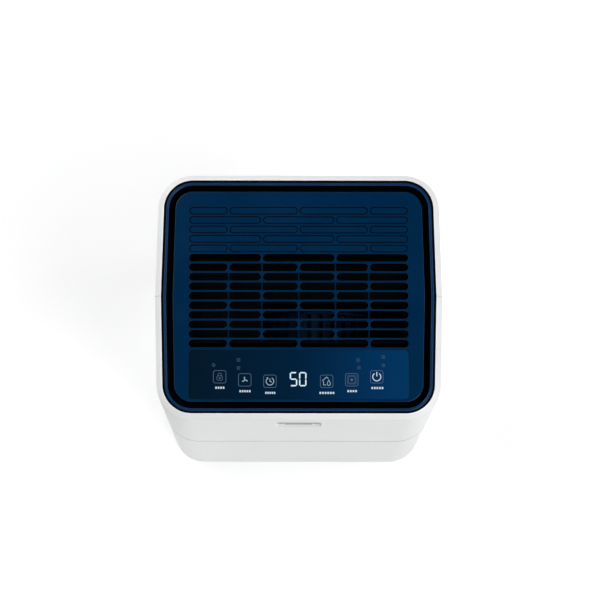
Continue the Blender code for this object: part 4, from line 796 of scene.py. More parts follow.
# The upper, hidden half of the recess is painted grey: painted shade under the lip.
RECESS_SHADE_FROM, RECESS_SHADE_TO = -DEPTH / 2 + 2.9 * MM, -DEPTH / 2 + SCOOP_DEEP + 0.5 * MM
RECESS_SHADE_MIDDLE, RECESS_SHADE_HALF = 476 * MM, 21 * MM


def in_recess_shade(x, y, z):
    """The faces of the recess that carry the painted shade, from its front edge inwards."""
    return (abs(x) < SCOOP_HALF) & (abs(z - RECESS_SHADE_MIDDLE) < RECESS_SHADE_HALF) & (y > RECESS_SHADE_FROM) & (y < RECESS_SHADE_TO)


refinish(bpy.data.objects["front_case"], recess_painted_shade, in_recess_shade)

# %% [markdown]
# ## Rear of the case
# The rear half runs the full height, from the base to the rim. It is the same section carried round the other
# half, and its openings are cut with plugs that widen at the surface, so every opening has a soft
# edge: the intake, two grips, the drain, the cable bush and four screw holes.


# %% Stacks, and plugs that cut soft-edged openings
def stack(name, loops, material=None):
    """A solid from closed loops laid one after another, with its two ends filled."""
    return swept(name, loops, close_rows=False, close_columns=True, material=material)


def plug(outline, start, end, flare=0.7 * MM, axis="Y", steps=4):
    """A cutter along Y or X from start to end, whose outline grows on a quarter circle over its last stretch.

    At an angle a from 0 to 90 degrees it has grown by flare * (1 - cos(a)), at end - flare * (1 - sin(a)).
    """
    a = np.linspace(0, math.pi / 2, steps + 1)
    side = 1 if end > start else -1
    grow = np.concatenate([[0], flare * (1 - np.cos(a)), [flare]])
    reach = np.concatenate([[start], end - side * flare * (1 - np.sin(a)), [end + side * 3 * MM]])
    loops = []
    for g, r in zip(grow, reach):
        line = outline(g)
        level = np.full(len(line), r)
        parts = (line[:, 0], level, line[:, 1]) if axis == "Y" else (level, line[:, 0], line[:, 1])
        loops.append(np.stack(parts, 1))
    return stack("plug", np.array(loops))


grille_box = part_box("rear_grille")
intake = [c / MM for c in (grille_box[0].x, grille_box[0].z, grille_box[1].x, grille_box[1].z)]
screw_boxes = [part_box(f"casing_screw_{i}") for i in (1, 2, 3, 4)]
socket_box, gland_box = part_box("drain_socket"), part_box("cord_gland")


def centre_of(box):
    """The middle of a node's box, in the plane of the rear wall: x and z."""
    return (box[0].x + box[1].x) / 2, (box[0].z + box[1].z) / 2


print("intake", [round(v, 1) for v in intake], "mm; screws at", [round(centre_of(b)[0] / MM) for b in screw_boxes])

# %% [markdown]
# ## Rear half
# The rear half could be one swept wall with its openings left out of the grid. Cutting them afterwards is
# simpler, because an opening then need not follow the grid's lines.

# %% Rear half
def rear_case():
    """Carries the rim's section and a plain wall down to the base round the rear half, then cuts the openings."""
    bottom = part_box("rear_shell")[0].z
    foot = rounded([(WALL, bottom + 20 * MM), (WALL, bottom), (0, bottom), (0, bottom + 20 * MM)], 0.5 * MM, 4)
    section = np.concatenate([foot, rim_rows()])
    plan = half_outline(section[:, 0], 0.25 * MM, True)
    grid = with_heights(plan, section[:, 1])
    case = swept("rear_case", grid)
    back = DEPTH / 2
    x0, z0, x1, z1 = [v * MM for v in intake]
    window = lambda g: rounded_box(x0 - 1.5 * MM, z0 - 2 * MM, x1 + 1.5 * MM, z1 + 1.5 * MM, 4 * MM, g)
    cutters = [plug(window, back - 9 * MM, back)]
    for box in screw_boxes:
        x, z = centre_of(box)
        cutters.append(plug(lambda g: circle(x, z, 4.5 * MM, g, 32), back - 9 * MM, back, 0.5 * MM))
    for box, gap in ((socket_box, 0.3 * MM), (gland_box, 0.3 * MM)):
        x, z = centre_of(box)
        radius = (box[1].x - box[0].x) / 2 + gap
        cutters.append(plug(lambda g: circle(x, z, radius, g, 64), back - 9 * MM, back, 0.5 * MM))
    for side, name in ((-1, "side_grip_left"), (1, "side_grip_right")):
        low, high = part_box(name)
        gap = 0.3 * MM
        outline = lambda g: rounded_box(low.y - gap, low.z - gap, high.y + gap, high.z + gap, 8 * MM, g)
        cutters.append(plug(outline, side * 160 * MM, side * 177 * MM, 0.2 * MM, "X"))
    for cutter in cutters:
        boolean(case, cutter)
    return case


finish_piece(settle(rear_case()), white_abs, "housing", "white_plastic", "rear_shell")

# %% [markdown]
# ## Side grips
# Each grip is a cup let into the side. The fingers go in and up, so its mouth is well rounded and its back
# runs into its walls with a large radius. One stack of loops makes it: up the outside, over the mouth,
# and down the inside to the back.


# %% Side grips
def side_grip(name, side):
    """A cup: loops in the (y, z) plane, each with its own inset from the mouth and depth below the side wall.

    The mouth follows the wall: x = width / 2 - taper * y - depth.
    """
    low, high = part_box(name)
    deep = WIDTH / 2 - min(abs(low.x), abs(high.x)) - TAPER * high.y
    a = np.linspace(0, math.pi / 2, 7)
    outside = [(0.0, deep), (0.0, 1.2 * MM)]
    outside += [(0.5 * MM * (1 - math.cos(t)), 0.5 * MM * (1 - math.sin(t))) for t in a[1:]]
    mouth = [(1 * MM + 1.5 * MM * math.sin(t), 1.5 * MM * (1 - math.cos(t))) for t in a]
    wall = [(2.6 * MM, deep - 10 * MM)]
    back = [(2.7 * MM + 7 * MM * (1 - math.cos(t)), deep - 2.5 * MM - 7 * MM * (1 - math.sin(t))) for t in a]
    loops = []
    for inset, depth in outside + mouth + wall + back:
        line = rounded_box(low.y, low.z, high.y, high.z, 8 * MM, -inset, 8) if inset < 7.9 * MM else None
        if line is None:
            line = rounded_box(low.y + inset, low.z + inset, high.y - inset, high.z - inset, 0.3 * MM, 0, 8)
        x = side * (WIDTH / 2 - TAPER * line[:, 0] - depth)
        loops.append(np.column_stack([x, line]))
    return stack(name + "_cup", np.array(loops))


for side, name in ((-1, "side_grip_left"), (1, "side_grip_right")):
    finish_piece(settle(side_grip(name, side)), white_abs, "housing", "white_plastic", name)

# %% [markdown]
# ## Tank front
# The lower front of the case is the face of the water tank. It is a plain wall with soft edges, and
# a notch in the top edge on each side lets fingertips pull it out.


# %% Tank front
def tank_face():
    """A wall section carried round the front half, with a rounded notch cut from each side.

    Its top edge is stepped back by 1.6 mm, and the faces at and above the step are painted black as painted shade,
    which draws the line under the upper case.
    """
    low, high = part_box("tank_front")
    step = high.z - 1.2 * MM
    corners = [(0, low.z), (0, step), (1.6 * MM, step), (1.6 * MM, high.z), (WALL, high.z), (WALL, low.z)]
    section = rounded(corners, [v * MM for v in (0.5, 0.12, 0.2, 0.3, 0.3, 0.5)], 4, closed=True)
    plan = half_outline(section[:, 0], 0.25 * MM, False)
    face = swept("tank_face", with_heights(plan, section[:, 1]))
    for side in (-1, 1):
        notch = lambda g: rounded_box(-66 * MM, 271.5 * MM, -14 * MM, 300 * MM, 5 * MM, g)
        boolean(face, plug(notch, side * 165 * MM, side * 178 * MM, 0.2 * MM, "X"))
    return face


finish_piece(settle(tank_face()), white_abs, "tank", "white_plastic", "tank_front")
# The tank face's top edge is painted black: painted shade under the upper case.
TANK_SHADE_LINE_HEIGHT = 1.78 * MM
refinish(bpy.data.objects["tank_face"], rubber_black, lambda x, y, z: z > SEAM - TANK_SHADE_LINE_HEIGHT)

# %% [markdown]
# ## Base
# The base tray carries everything. Its skirt turns under with a chamfer and small radii, a pocket takes each
# castor, and two rails guide the tank.


# %% Base
CASTOR_X, CASTOR_Y = 120 * MM, 105 * MM
RAIL_FRONT, RAIL_REAR = -139 * MM, -12 * MM


def in_mm(*points):
    """Points given in millimetres, as metres."""
    return [(a * MM, b * MM) for a, b in points]


def drum(x, y, rows):
    """An upright round solid: one circle for each radius and height."""
    return stack("drum", np.array([at_height(circle(x, y, r, 0, 40), z) for r, z in rows]))


def base():
    """A stack of the whole outline for the outside, less a stack for the inside, with bosses, rails and pockets."""
    low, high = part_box("base_tray")
    skirt = [(30 * MM, low.z), (3 * MM, low.z), (0, low.z + 3 * MM), (0, high.z), (2 * MM, high.z)]
    outer = rounded(skirt, [0, 1.5 * MM, 1.5 * MM, 0.5 * MM, 0], 4)
    loops = [at_height(full_outline(i)[0], z) for i, z in outer]
    tray = stack("base", np.array(loops))
    hollow = in_mm((10, 15), (4.3, 15), (4.3, 30)) + [(2.8 * MM, high.z + 2 * MM)]
    inner = rounded(hollow, [0, 2 * MM, 1 * MM, 0], 4)
    loops = [at_height(full_outline(i)[0], z) for i, z in inner]
    boolean(tray, stack("inside", np.array(loops)))
    boss = in_mm((26.5, 13), (26.5, 39.4), (25.9, 40))
    pocket = in_mm((26.5, 10), (25.7, 12), (24.7, 13), (24.5, 14), (24.5, 37.5), (24, 38))
    stem_hole = in_mm((3.4, 30), (3.4, 45))
    for i in (1, 2, 3, 4):
        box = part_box(f"castor_fork_{i}")
        x = math.copysign(CASTOR_X, box[0].x)
        y = math.copysign(CASTOR_Y, box[0].y)
        boolean(tray, drum(x, y, boss), "UNION")
        boolean(tray, drum(x, y, pocket))
        boolean(tray, drum(x, y, stem_hole))
    for x in (-60 * MM, 60 * MM):
        grown = (0, 0, -0.6 * MM)
        rail = [rounded_box(x - 4 * MM, RAIL_FRONT, x + 4 * MM, RAIL_REAR, 2 * MM, g, 4) for g in grown]
        heights = (14 * MM, high.z - 0.6 * MM, high.z)
        boolean(tray, stack("rail", np.array([at_height(r, z) for r, z in zip(rail, heights)])), "UNION")
    return tray


finish_piece(settle(base()), white_abs, "housing", "white_plastic", "base_tray")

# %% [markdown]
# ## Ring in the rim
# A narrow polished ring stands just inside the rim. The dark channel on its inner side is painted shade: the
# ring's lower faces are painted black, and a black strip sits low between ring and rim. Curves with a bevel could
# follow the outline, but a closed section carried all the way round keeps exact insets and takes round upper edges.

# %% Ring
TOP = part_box("outlet_grille")[1].z
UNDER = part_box("outlet_grille")[0].z


def ring_band():
    """A closed section, insets 10.2 to 13.8 mm, carried round the whole outline."""
    corners = [(10.2 * MM, UNDER), (10.2 * MM, TOP), (13.8 * MM, TOP), (13.8 * MM, UNDER)]
    section = rounded(corners, [0.3 * MM, 1.0 * MM, 1.2 * MM, 0.3 * MM], 6, closed=True)
    plan = full_outline(section[:, 0])
    return swept("ring_band", with_heights(plan, section[:, 1]), close_columns=True)


def ring_gap_painted_shade():
    """A closed section, insets 7.1 to 10.5 mm and 1.2 mm below the ring's top, carried round the outline."""
    low, high = TOP - 4 * MM, TOP - 1.2 * MM
    corners = [(7.1 * MM, low), (7.1 * MM, high), (10.5 * MM, high), (10.5 * MM, low)]
    section = rounded(corners, [0.3 * MM, 0.6 * MM, 0.3 * MM, 0.3 * MM], 4, closed=True)
    plan = full_outline(section[:, 0])
    return swept("ring_gap_painted_shade", with_heights(plan, section[:, 1]), close_columns=True)


ring = finish_piece(settle(ring_band()), blue_ring, "housing", "navy_plastic", "trim_ring")
# The ring's faces more than 2 mm below its top are painted black: painted shade in the channel.
refinish(ring, blue_black_and_painted_shade, lambda x, y, z: z < TOP - 2 * MM)
# A black strip low in the gap between rim and ring: painted shade.
finish_piece(settle(ring_gap_painted_shade()), blue_black_and_painted_shade, "housing", "rubber")

# %% [markdown]
# ## Slotted top
# The top is one plate with a skirt. Ten rows of slots are open over the outlet. Five rows behind them are
# blind: each has a shallow groove round it that repeats the pattern. The rows are laid like bricks, four
# slots and three by turns. All edges are rounded, because a mould needs it and because it is the rounded edges
# that catch the light.

# %% Slotted top
PITCH, SLOT, FIELD, FIRST_ROW = 11.73 * MM, 9.5 * MM, 267 * MM, 105.9 * MM
RIB, WIDE_RIBS, NARROW_RIBS = 2.2 * MM, 85.6 * MM, 44.8 * MM
ROWS, BLIND_ROWS = 15, 5
ISLAND_INSET = 21.3 * MM
FILM_X, FILM_FRONT, FILM_REAR = 133 * MM, -126.1 * MM, -66.2 * MM


def slot_ends(row):
    """Left and right end of each slot in a row."""
    ribs = (-WIDE_RIBS, 0, WIDE_RIBS) if row % 2 == 0 else (-NARROW_RIBS, NARROW_RIBS)
    starts = [-FIELD / 2] + [x + RIB / 2 for x in ribs]
    return list(zip(starts, [x - RIB / 2 for x in ribs] + [FIELD / 2]))


def slotted_top():
    """The plate with its skirt, open slots, grooved blind slots and the pocket for the touch film."""
    outline = lambda g: full_outline(ISLAND_INSET - g)[0]
    edge = edge_rows(TOP, 1.0 * MM, 6) + [(0, UNDER + 0.3 * MM), (-0.3 * MM, UNDER)]
    edge += [(-2.3 * MM, UNDER), (-2.6 * MM, UNDER + 0.3 * MM), (-2.6 * MM, TOP - 3 * MM)]
    open_slot = edge_rows(TOP, 0.25 * MM, 3, -1) + [(0, TOP - 2.7 * MM), (0.3 * MM, TOP - 3 * MM)]
    groove = edge_rows(TOP, 0.15 * MM, 2, -1) + [(0, TOP - 0.7 * MM), (-0.15 * MM, TOP - 0.8 * MM)]
    groove += [(-0.95 * MM, TOP - 0.8 * MM), (-1.1 * MM, TOP - 0.7 * MM)]
    groove += [(-1.12 * MM, TOP - 0.3 * MM), (-1.25 * MM, TOP - 0.15 * MM)]
    holes = []
    for row in range(ROWS):
        y = FIRST_ROW - row * PITCH
        for x0, x1 in slot_ends(row):
            slot = lambda g, x0=x0, x1=x1, y=y: stadium(x0, x1, y, SLOT, g)
            holes.append((slot, groove if row < BLIND_ROWS else open_slot))
    pocket = lambda g: rounded_box(-FILM_X, FILM_FRONT, FILM_X, FILM_REAR, 5 * MM, 0.3 * MM + g)
    holes.append((pocket, edge_rows(TOP, 0.25 * MM, 3, -1) + [(0, TOP - 1.3 * MM)]))
    return holed_plate("slotted_top", outline, edge, holes)


top = settle(slotted_top())
finish_piece(top, blue_pc, "housing", "navy_plastic", "outlet_grille")
# Faces more than 0.28 mm below the top are painted near black: painted shade in the grooves, slot walls and skirt.
refinish(top, blue_black_and_painted_shade, lambda x, y, z: z < TOP - 0.28 * MM)

# %% [markdown]
# ## Touch film and its print
# The film is a thin plate in its pocket with a slightly rounded edge. Six keys are printed on it
# as fine rounded squares, each with a plain symbol, and between them are two seven-segment figures. A row of
# small blocks stands under each key where wording would be. Every stroke is a thin closed strip that stands a few
# hundredths of a millimetre proud of the film.


# %% Film
def film():
    """A stack of rounded rectangles with a small quarter-circle edge."""
    rows = [(0, TOP - 1.0 * MM)] + [(g, h) for g, h in reversed(edge_rows(TOP, 0.2 * MM, 3))]
    loops = [at_height(rounded_box(-FILM_X, FILM_FRONT, FILM_X, FILM_REAR, 5 * MM, g), h) for g, h in rows]
    return stack("touch_film", np.array(loops))


finish_piece(settle(film()), film_pet, "housing", "navy_plastic", "control_overlay")

INK = (TOP - 0.02 * MM, TOP + 0.04 * MM)

# %% [markdown]
# ## Strokes and spots of ink
# Print could be an image on the film. Thin raised strips stay sharp at any distance instead, and come out in
# the exported mesh, so each line is a strip along a path and each dot a filled outline.

# %% Strokes and spots of ink
def stroke(path, width, closed=False):
    """A thin strip along a path: each point is moved half the width to both sides along the path's normal.

    At a corner the normal is the mean of its two edges' normals, longer by one over the cosine of half the turn.
    """
    p = np.asarray(path, float) * MM
    ahead = np.roll(p, -1, 0) - p
    if not closed:
        ahead[-1] = ahead[-2]
    ahead /= np.linalg.norm(ahead, axis=1)[:, None]
    behind = np.roll(ahead, 1, 0)
    if not closed:
        behind[0] = ahead[0]
    normal = np.stack([-(ahead + behind)[:, 1], (ahead + behind)[:, 0]], 1)
    normal /= np.linalg.norm(normal, axis=1)[:, None]
    turn = np.clip((normal * np.stack([-ahead[:, 1], ahead[:, 0]], 1)).sum(1), 0.5, 1)
    move = normal * (width * MM / 2 / turn)[:, None]
    sides = ((p - move, INK[0]), (p - move, INK[1]), (p + move, INK[1]), (p + move, INK[0]))
    grid = np.array([at_height(line, z) for line, z in sides])
    return swept("stroke", grid, close_columns=closed)


def spot(outline):
    """A filled shape of ink: its outline at two heights, capped."""
    p = np.asarray(outline, float) * MM
    return stack("spot", np.array([at_height(p, z) for z in INK]))


def at(centre, points, size=1.0):
    """Points moved to a centre, in millimetres."""
    return np.asarray(points, float) * size + np.asarray(centre, float)


def ring_path(radius, start=0, end=360, steps=36):
    """Points along an arc, angles in degrees from +X towards +Y."""
    a = np.radians(np.linspace(start, end, steps + 1))
    points = np.stack([np.cos(a), np.sin(a)], 1) * radius
    return points[:-1] if end - start >= 360 else points


def ink(pieces, name, material):
    """Joins strokes and spots into one print and puts it on the casing."""
    return finish_piece(joined_mesh(pieces, name), material, "housing", "navy_plastic")


print("ink stands", round((INK[1] - TOP) / MM, 3), "mm proud")

# %% [markdown]
# ## Key frames
# Six touch keys stand in a shallow arc on either side of the figures. Their frames are fine rounded squares.

# %% Key frames
KEYS = [(-95.6, -99.1), (-65.2, -102.8), (-34.8, -104.5), (33.8, -104.5), (64.1, -102.6), (94.4, -99.0)]
KEY_SIZE = 15.2


def key_frame(centre):
    """A rounded square drawn with a fine line."""
    half = KEY_SIZE / 2
    return stroke(at(centre, rounded_box(-half, -half, half, half, 2.4)), 0.6, closed=True)


ink([key_frame(c) for c in KEYS], "key_frames", ink_soft)

# %% [markdown]
# ## Symbols on the keys
# Each key carries a plain sign that many appliances share: a lock, a fan, a clock, a house with a drop, a
# square and a power sign. They are drawn from arcs and straight strokes in millimetres round the key's middle.

# %% Symbols on the keys
def padlock(c):
    """A rounded body with a keyhole dot under a round shackle."""
    body = rounded_box(-3.3, -4.2, 3.3, 1.2, 1.6)
    shackle = np.concatenate([[(-2.1, 1.2)], at((0, 2.4), ring_path(2.1, 180, 0, 14)), [(2.1, 1.2)]])
    return [stroke(at(c, body), 0.6, True), stroke(at(c, shackle), 0.6), spot(at(c, circle(0, -1.5, 1.0, 0, 20)))]


def three_blades(c):
    """A hub and three blades: one edge of a blade swells by a sine, the other by a slightly earlier, larger one."""
    made = [spot(at(c, circle(0, 0, 0.9, 0, 20)))]
    t = np.linspace(0, 1, 9)
    for turn in (90, 210, 330):
        a = math.radians(turn)
        along = np.stack([math.cos(a) + 0 * t, math.sin(a) + 0 * t], 1)
        side = np.stack([-along[:, 1], along[:, 0]], 1)
        out = along * (0.9 + 3.2 * t)[:, None]
        straight = out - side * (0.2 * np.sin(math.pi * t))[:, None]
        full = out + side * (1.1 * np.sin(math.pi * t ** 0.8))[:, None]
        made.append(spot(at(c, np.concatenate([straight, full[::-1][1:-1]]))))
    return made


def clock(c):
    """An open ring with an arrow's barb at its end, and two hands."""
    hands, barb = [(0, 3.2), (0, 0), (2.4, -1.0)], [(-3.9, 4.6), (-2.2, 4.0), (-3.2, 2.4)]
    return [stroke(at(c, ring_path(4.6, 120, 420)), 0.8), stroke(at(c, hands), 0.8), stroke(at(c, barb), 0.7)]


def house(c):
    """A roof and a wall, and a drop: x = 2.6 sin(a) sin(a / 2) ** 1.5 and y = 3.4 cos(a)."""
    roof = [(-5.6, 0.4), (0, 5.2), (2.2, 3.3)]
    walls = [(-3.8, 0.2), (-3.8, -4.4), (-0.8, -4.4)]
    a = np.linspace(0, 2 * math.pi, 25)[:-1]
    drop = np.stack([2.6 + 2.6 * np.sin(a) * np.sin(a / 2) ** 1.5, -1.6 + 3.4 * np.cos(a)], 1)
    return [stroke(at(c, roof), 0.65), stroke(at(c, walls), 0.65), stroke(at(c, drop), 0.6, True)]


def dotted_square(c):
    """Two squares, one in the other, round a dot."""
    small, large = rounded_box(-4.0, -4.0, 4.0, 4.0, 0.8), rounded_box(-5.2, -5.2, 5.2, 5.2, 1.0)
    dot = spot(at(c, circle(0, 0, 1.6, 0, 24)))
    return [stroke(at(c, small), 0.5, True), dot, stroke(at(c, large), 0.4, True)]


def power(c):
    """A ring open at the top with a bar in the gap."""
    return [stroke(at(c, ring_path(4.9, 125, 415)), 1.1), stroke(at(c, [(0, 6.0), (0, 0.6)]), 1.1)]


ink(padlock(KEYS[0]), "lock_symbol", ink_soft)
ink([p for draw, c in zip((three_blades, clock, house), KEYS[1:]) for p in draw(c)], "key_symbols", ink_bright)
ink(dotted_square(KEYS[4]), "mode_symbol", ink_soft)
ink(power(KEYS[5]), "power_symbol", ink_white)

# %% [markdown]
# ## Display figures
# The display is the usual seven-segment kind, lit from behind. Text set in a font would do for plain words, but
# these bars have pointed ends and a gap between them, so one table of segment ends serves every figure.

# %% Figures
def figure(segments, x, y, width=9.0, height=17.4, thick=1.6):
    """Seven-segment figure of bars with pointed ends: a is the top one, they run clockwise, and g is the middle."""
    h, w = height / 2 - thick / 2, width / 2 - thick / 2
    ends = [(-w, h), (w, h), (w, 0), (w, -h), (-w, -h), (-w, 0), (-w, h)]
    bars = dict(zip("abcdef", zip(ends[:-1], ends[1:]))) | {"g": ((-w, 0), (w, 0))}
    made = []
    for name in segments:
        p, q = (np.array(v, float) for v in bars[name])
        along = (q - p) / np.linalg.norm(q - p)
        side = np.array([-along[1], along[0]]) * thick / 2
        tip, gap = along * thick / 2, along * 0.2
        right = [p + gap, p + gap + tip - side, q - gap - tip - side]
        left = [q - gap, q - gap - tip + side, p + gap + tip + side]
        made.append(spot(at((x, y), np.array(right + left))))
    return made


ink(figure("afgcd", -6.3, -101.9) + figure("abcdef", 4.9, -101.9), "display_figures", led_white)

# %% [markdown]
# ## Blocks under the keys, and unlit marks
# Where wording would stand there are rows of small blocks, and above the keys are dim marks for lamps that
# are off. Both are made with the same spots and strokes.

# %% Blocks under the keys, and unlit marks
def blocks(centre, width, count):
    """A row of small upright bars that fills a width."""
    pitch = width / count
    x = centre[0] - width / 2 + pitch * (np.arange(count) + 0.5)
    return [spot(at((v, centre[1]), rounded_box(-pitch * 0.34, -1.3, pitch * 0.34, 1.3, 0.4, 0, 3))) for v in x]


# Each row of blocks: the middle's x and y, the width, and how many.
LABELS = [
    (-95.3, -112.4, 12, 4), (-64.9, -116.6, 14.4, 5), (-34.4, -118.6, 13, 5),
    (34.0, -118.6, 19, 6), (64.5, -116.4, 12.6, 4), (95.0, -112.6, 15.5, 5),
]
ink([p for x, y, w, n in LABELS for p in blocks((x, y), w, n)], "key_blocks", ink_white)
MARKS = [(-103, -84.7), (-72.9, -78.6), (-72.9, -88.2), (72, -78.6), (72.9, -87.7)]
MARKS += [(102.4, -74.8), (102.4, -84.9)]
marks = [stroke(at(c, ring_path(1.9, 0, 360, 24)), 0.6, True) for c in MARKS[::2]]
marks += [stroke(at(c, rounded_box(-1.8, -1.8, 1.8, 1.8, 0.6)), 0.6, True) for c in MARKS[1::2]]
ink(marks + [spot(at(c, circle(0, 0, 0.8, 0, 16))) for c in MARKS], "unlit_marks", ink_faint)

# %% [markdown]
# ## What shows through the slots
# Under the slots are the black deck, the guard's ribs, and the outlet duct with the blower wheel in its scroll.
# The wheel is the real shape: thirty-two forward-curved blades between a back plate and a rim. A blade is
# one arc in section, carried along the wheel's width.


# %% Blower wheel
BLADES = 32


def standing(outline, y):
    """A flat outline, as x and z, stood upright at one depth."""
    return np.stack([outline[:, 0], np.full(len(outline), y), outline[:, 1]], 1)


def blower_wheel():
    """Blades whose section is an arc between the inner and outer radius, a plate with its hub, and a rim.

    A blade point at share t of the way out lies at radius r(t) and is turned forward by 0.19 * t ** 2 radians,
    thick on each side of that line by half of 1.2 mm, less at its two edges.
    """
    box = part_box("fan_wheel")
    cx, cz = (box[0].x + box[1].x) / 2, (box[0].z + box[1].z) / 2
    outer = (box[1].x - box[0].x) / 2 - 0.2 * MM
    inner = 61 * MM
    front, back = box[0].y, box[1].y
    t = np.linspace(0, 1, 7)
    radius = inner + (outer - inner) * t
    lean = 0.19 * t ** 2
    half = 0.6 * MM * np.sqrt(np.clip(1 - (2 * t - 1) ** 6, 0.15, 1)) / radius
    loop_r = np.concatenate([radius, radius[::-1]])
    loop_a = np.concatenate([lean - half, (lean + half)[::-1]])
    pieces = []
    for i in range(BLADES):
        a = loop_a + i * 2 * math.pi / BLADES
        line = np.stack([cx + loop_r * np.cos(a), cz + loop_r * np.sin(a)], 1)
        pieces.append(stack("blade", np.array([standing(line, y) for y in (front + 1 * MM, back - 2 * MM)])))
    a = np.arange(96) * 2 * math.pi / 96
    ring = lambda r: np.stack([cx + r * np.cos(a), cz + r * np.sin(a)], 1)
    turned = lambda rows: np.array([standing(ring(r), y) for r, y in rows])
    bore = inner + 4 * MM
    rim = [(bore, back), (outer, back), (outer, back - 3 * MM), (bore, back - 3 * MM)]
    pieces.append(swept("rim", turned(rounded(rim, 0.6 * MM, 3, True)), close_columns=True))
    hub = [(4.3 * MM, front), (4.3 * MM, front + 26 * MM), (9 * MM, front + 26 * MM), (13 * MM, front + 22 * MM)]
    hub += [(13 * MM, front + 2 * MM), (outer, front + 2 * MM), (outer, front)]
    radii = [v * MM for v in (0.3, 0.3, 1.5, 2, 3, 0.4, 0.4)]
    pieces.append(swept("back_plate", turned(rounded(hub, radii, 4, True)), close_columns=True))
    return joined_mesh(pieces, "blower_wheel")


finish_piece(settle(blower_wheel()), blade_abs, "fan", "black_plastic", "fan_wheel")

# %% [markdown]
# ## Rear of the unit
# Air comes in through a louvred panel that tilts out to free the filter. The panel is a moulded plate
# with two columns of round-ended louvres and a shallow thumb recess at its top edge. Below it are the drain
# with its rubber plug, the cable bush, and four screws with cross recesses.

# %% Intake panel
UPRIGHT = np.array([[1, 0, 0, 0], [0, 0, 1, 0], [0, -1, 0, 0], [0, 0, 0, 1.0]])


def intake_panel():
    """A holed plate drawn flat and stood upright: x stays, the plate's height becomes y and its y becomes -z."""
    low, high = grille_box
    outline = lambda g: rounded_box(low.x, -high.z, high.x, -low.z, 3 * MM, g)
    edge = edge_rows(high.y, 0.6 * MM, 5) + [(0, low.y + 0.3 * MM), (-0.3 * MM, low.y)]
    louvre = edge_rows(high.y, 0.7 * MM, 5, -1) + [(0, low.y + 0.4 * MM), (0.4 * MM, low.y)]
    pitch = (high.z - low.z - 24 * MM) / 15
    holes = []
    for row in range(15):
        z = low.z + 12 * MM + pitch * (row + 0.5)
        for x0, x1 in ((low.x + 12 * MM, -2.5 * MM), (2.5 * MM, high.x - 12 * MM)):
            holes.append((lambda g, x0=x0, x1=x1, z=z: stadium(x0, x1, -z, 7 * MM, g), louvre))
    thumb = edge_rows(high.y, 0.5 * MM, 4, -1) + [(-0.4 * MM, high.y - 1.1 * MM), (-1.0 * MM, high.y - 1.4 * MM)]
    holes.append((lambda g: stadium(-16 * MM, 16 * MM, -(high.z - 6.2 * MM), 6 * MM, g), thumb))
    return holed_plate("intake_panel", outline, edge, holes, UPRIGHT)


finish_piece(settle(intake_panel()), white_abs, "intake", "white_plastic", "rear_grille")

# %% [markdown]
# ## Drain plug and other round parts
# The drain's plug, the cable bush and the screws are all turned shapes. A section carried round an axis makes
# each of them, as the Screw modifier would, but with the place already in the mesh.

# %% Round parts
def turned_rows(rows, centre, axis, steps):
    """Rows of (radius, place along the axis) carried round it: centre holds the other two coordinates."""
    a = np.arange(steps) * 2 * math.pi / steps
    rows = np.asarray(rows, float)
    first = centre[0] + rows[:, 0][:, None] * np.cos(a)
    second = centre[1] + rows[:, 0][:, None] * np.sin(a)
    along = np.broadcast_to(rows[:, 1][:, None], first.shape)
    order = {"X": (along, first, second), "Y": (first, along, second), "Z": (first, second, along)}
    return np.dstack(order[axis])


def lathe(name, rows, centre, axis="Y", steps=64):
    """A closed section carried round the axis."""
    return swept(name, turned_rows(rows, centre, axis, steps), close_columns=True)


def solid_lathe(name, rows, centre, axis="Y", steps=64):
    """As lathe, for a section that starts and ends close to the axis: its ends are filled."""
    return swept(name, turned_rows(rows, centre, axis, steps), close_rows=False, close_columns=True)


def drain_plug():
    """A plug with two sealing ribs and a domed face with a raised grip ridge."""
    low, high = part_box("drain_plug")
    centre = centre_of((low, high))
    r = (high.x - low.x) / 2
    y0, y1 = low.y, high.y
    ribs = [(r, y0 + 2.5 * MM), (r - 0.7 * MM, y0 + 4 * MM), (r, y0 + 5.5 * MM), (r - 0.7 * MM, y0 + 7 * MM)]
    face = [(r, y1 - 4 * MM), (r, y1 - 1.2 * MM), (r - 3 * MM, y1 - 1.2 * MM), (0.4 * MM, y1 - 1.6 * MM)]
    outline = [(0.4 * MM, y0), (r - 1.5 * MM, y0)] + ribs + face
    rows = rounded(outline, [0, 0.8 * MM] + [0.5 * MM] * 4 + [0.5 * MM, 1 * MM, 0.6 * MM, 0], 4)
    body = solid_lathe("drain_stopper", rows, centre)
    (x, z), long, wide = centre, 6.5 * MM, 1.4 * MM
    ridge = lambda g: rounded_box(x - long, z - wide, x + long, z + wide, 1.3 * MM, g)
    levels = [(0.3 * MM, y1 - 3 * MM), (0, y1 - 0.9 * MM), (-0.15 * MM, y1 - 0.25 * MM), (-0.5 * MM, y1)]
    loops = [standing(ridge(g), y) for g, y in levels]
    return boolean(body, stack("ridge", np.array(loops)), "UNION")


finish_piece(settle(drain_plug()), rubber_black, "drain_plug", "rubber", "drain_plug")

# %% [markdown]
# ## Cable bush and screws
# The bush is where a mains lead would leave. The screws are pan-head ones of zinc-plated steel, and their cross
# recess is cut with two tapered bars, as the punch that forms it would.

# %% Cable bush and screws
def cable_bush():
    """A ring with a flange that swells towards the cable's hole."""
    low, high = gland_box
    r = (high.x - low.x) / 2
    corners = [(3.6 * MM, low.y), (r - 1 * MM, low.y), (r - 1 * MM, high.y - 3 * MM), (r, high.y - 3 * MM)]
    corners += [(r, high.y), (3.6 * MM, high.y - 1 * MM)]
    radii = [v * MM for v in (0.3, 0.5, 0.3, 0.3, 0.9, 0.8)]
    return lathe("cable_bush", rounded(corners, radii, 4, True), centre_of(gland_box))


finish_piece(settle(cable_bush()), rubber_black, "housing", "rubber", "cord_gland")


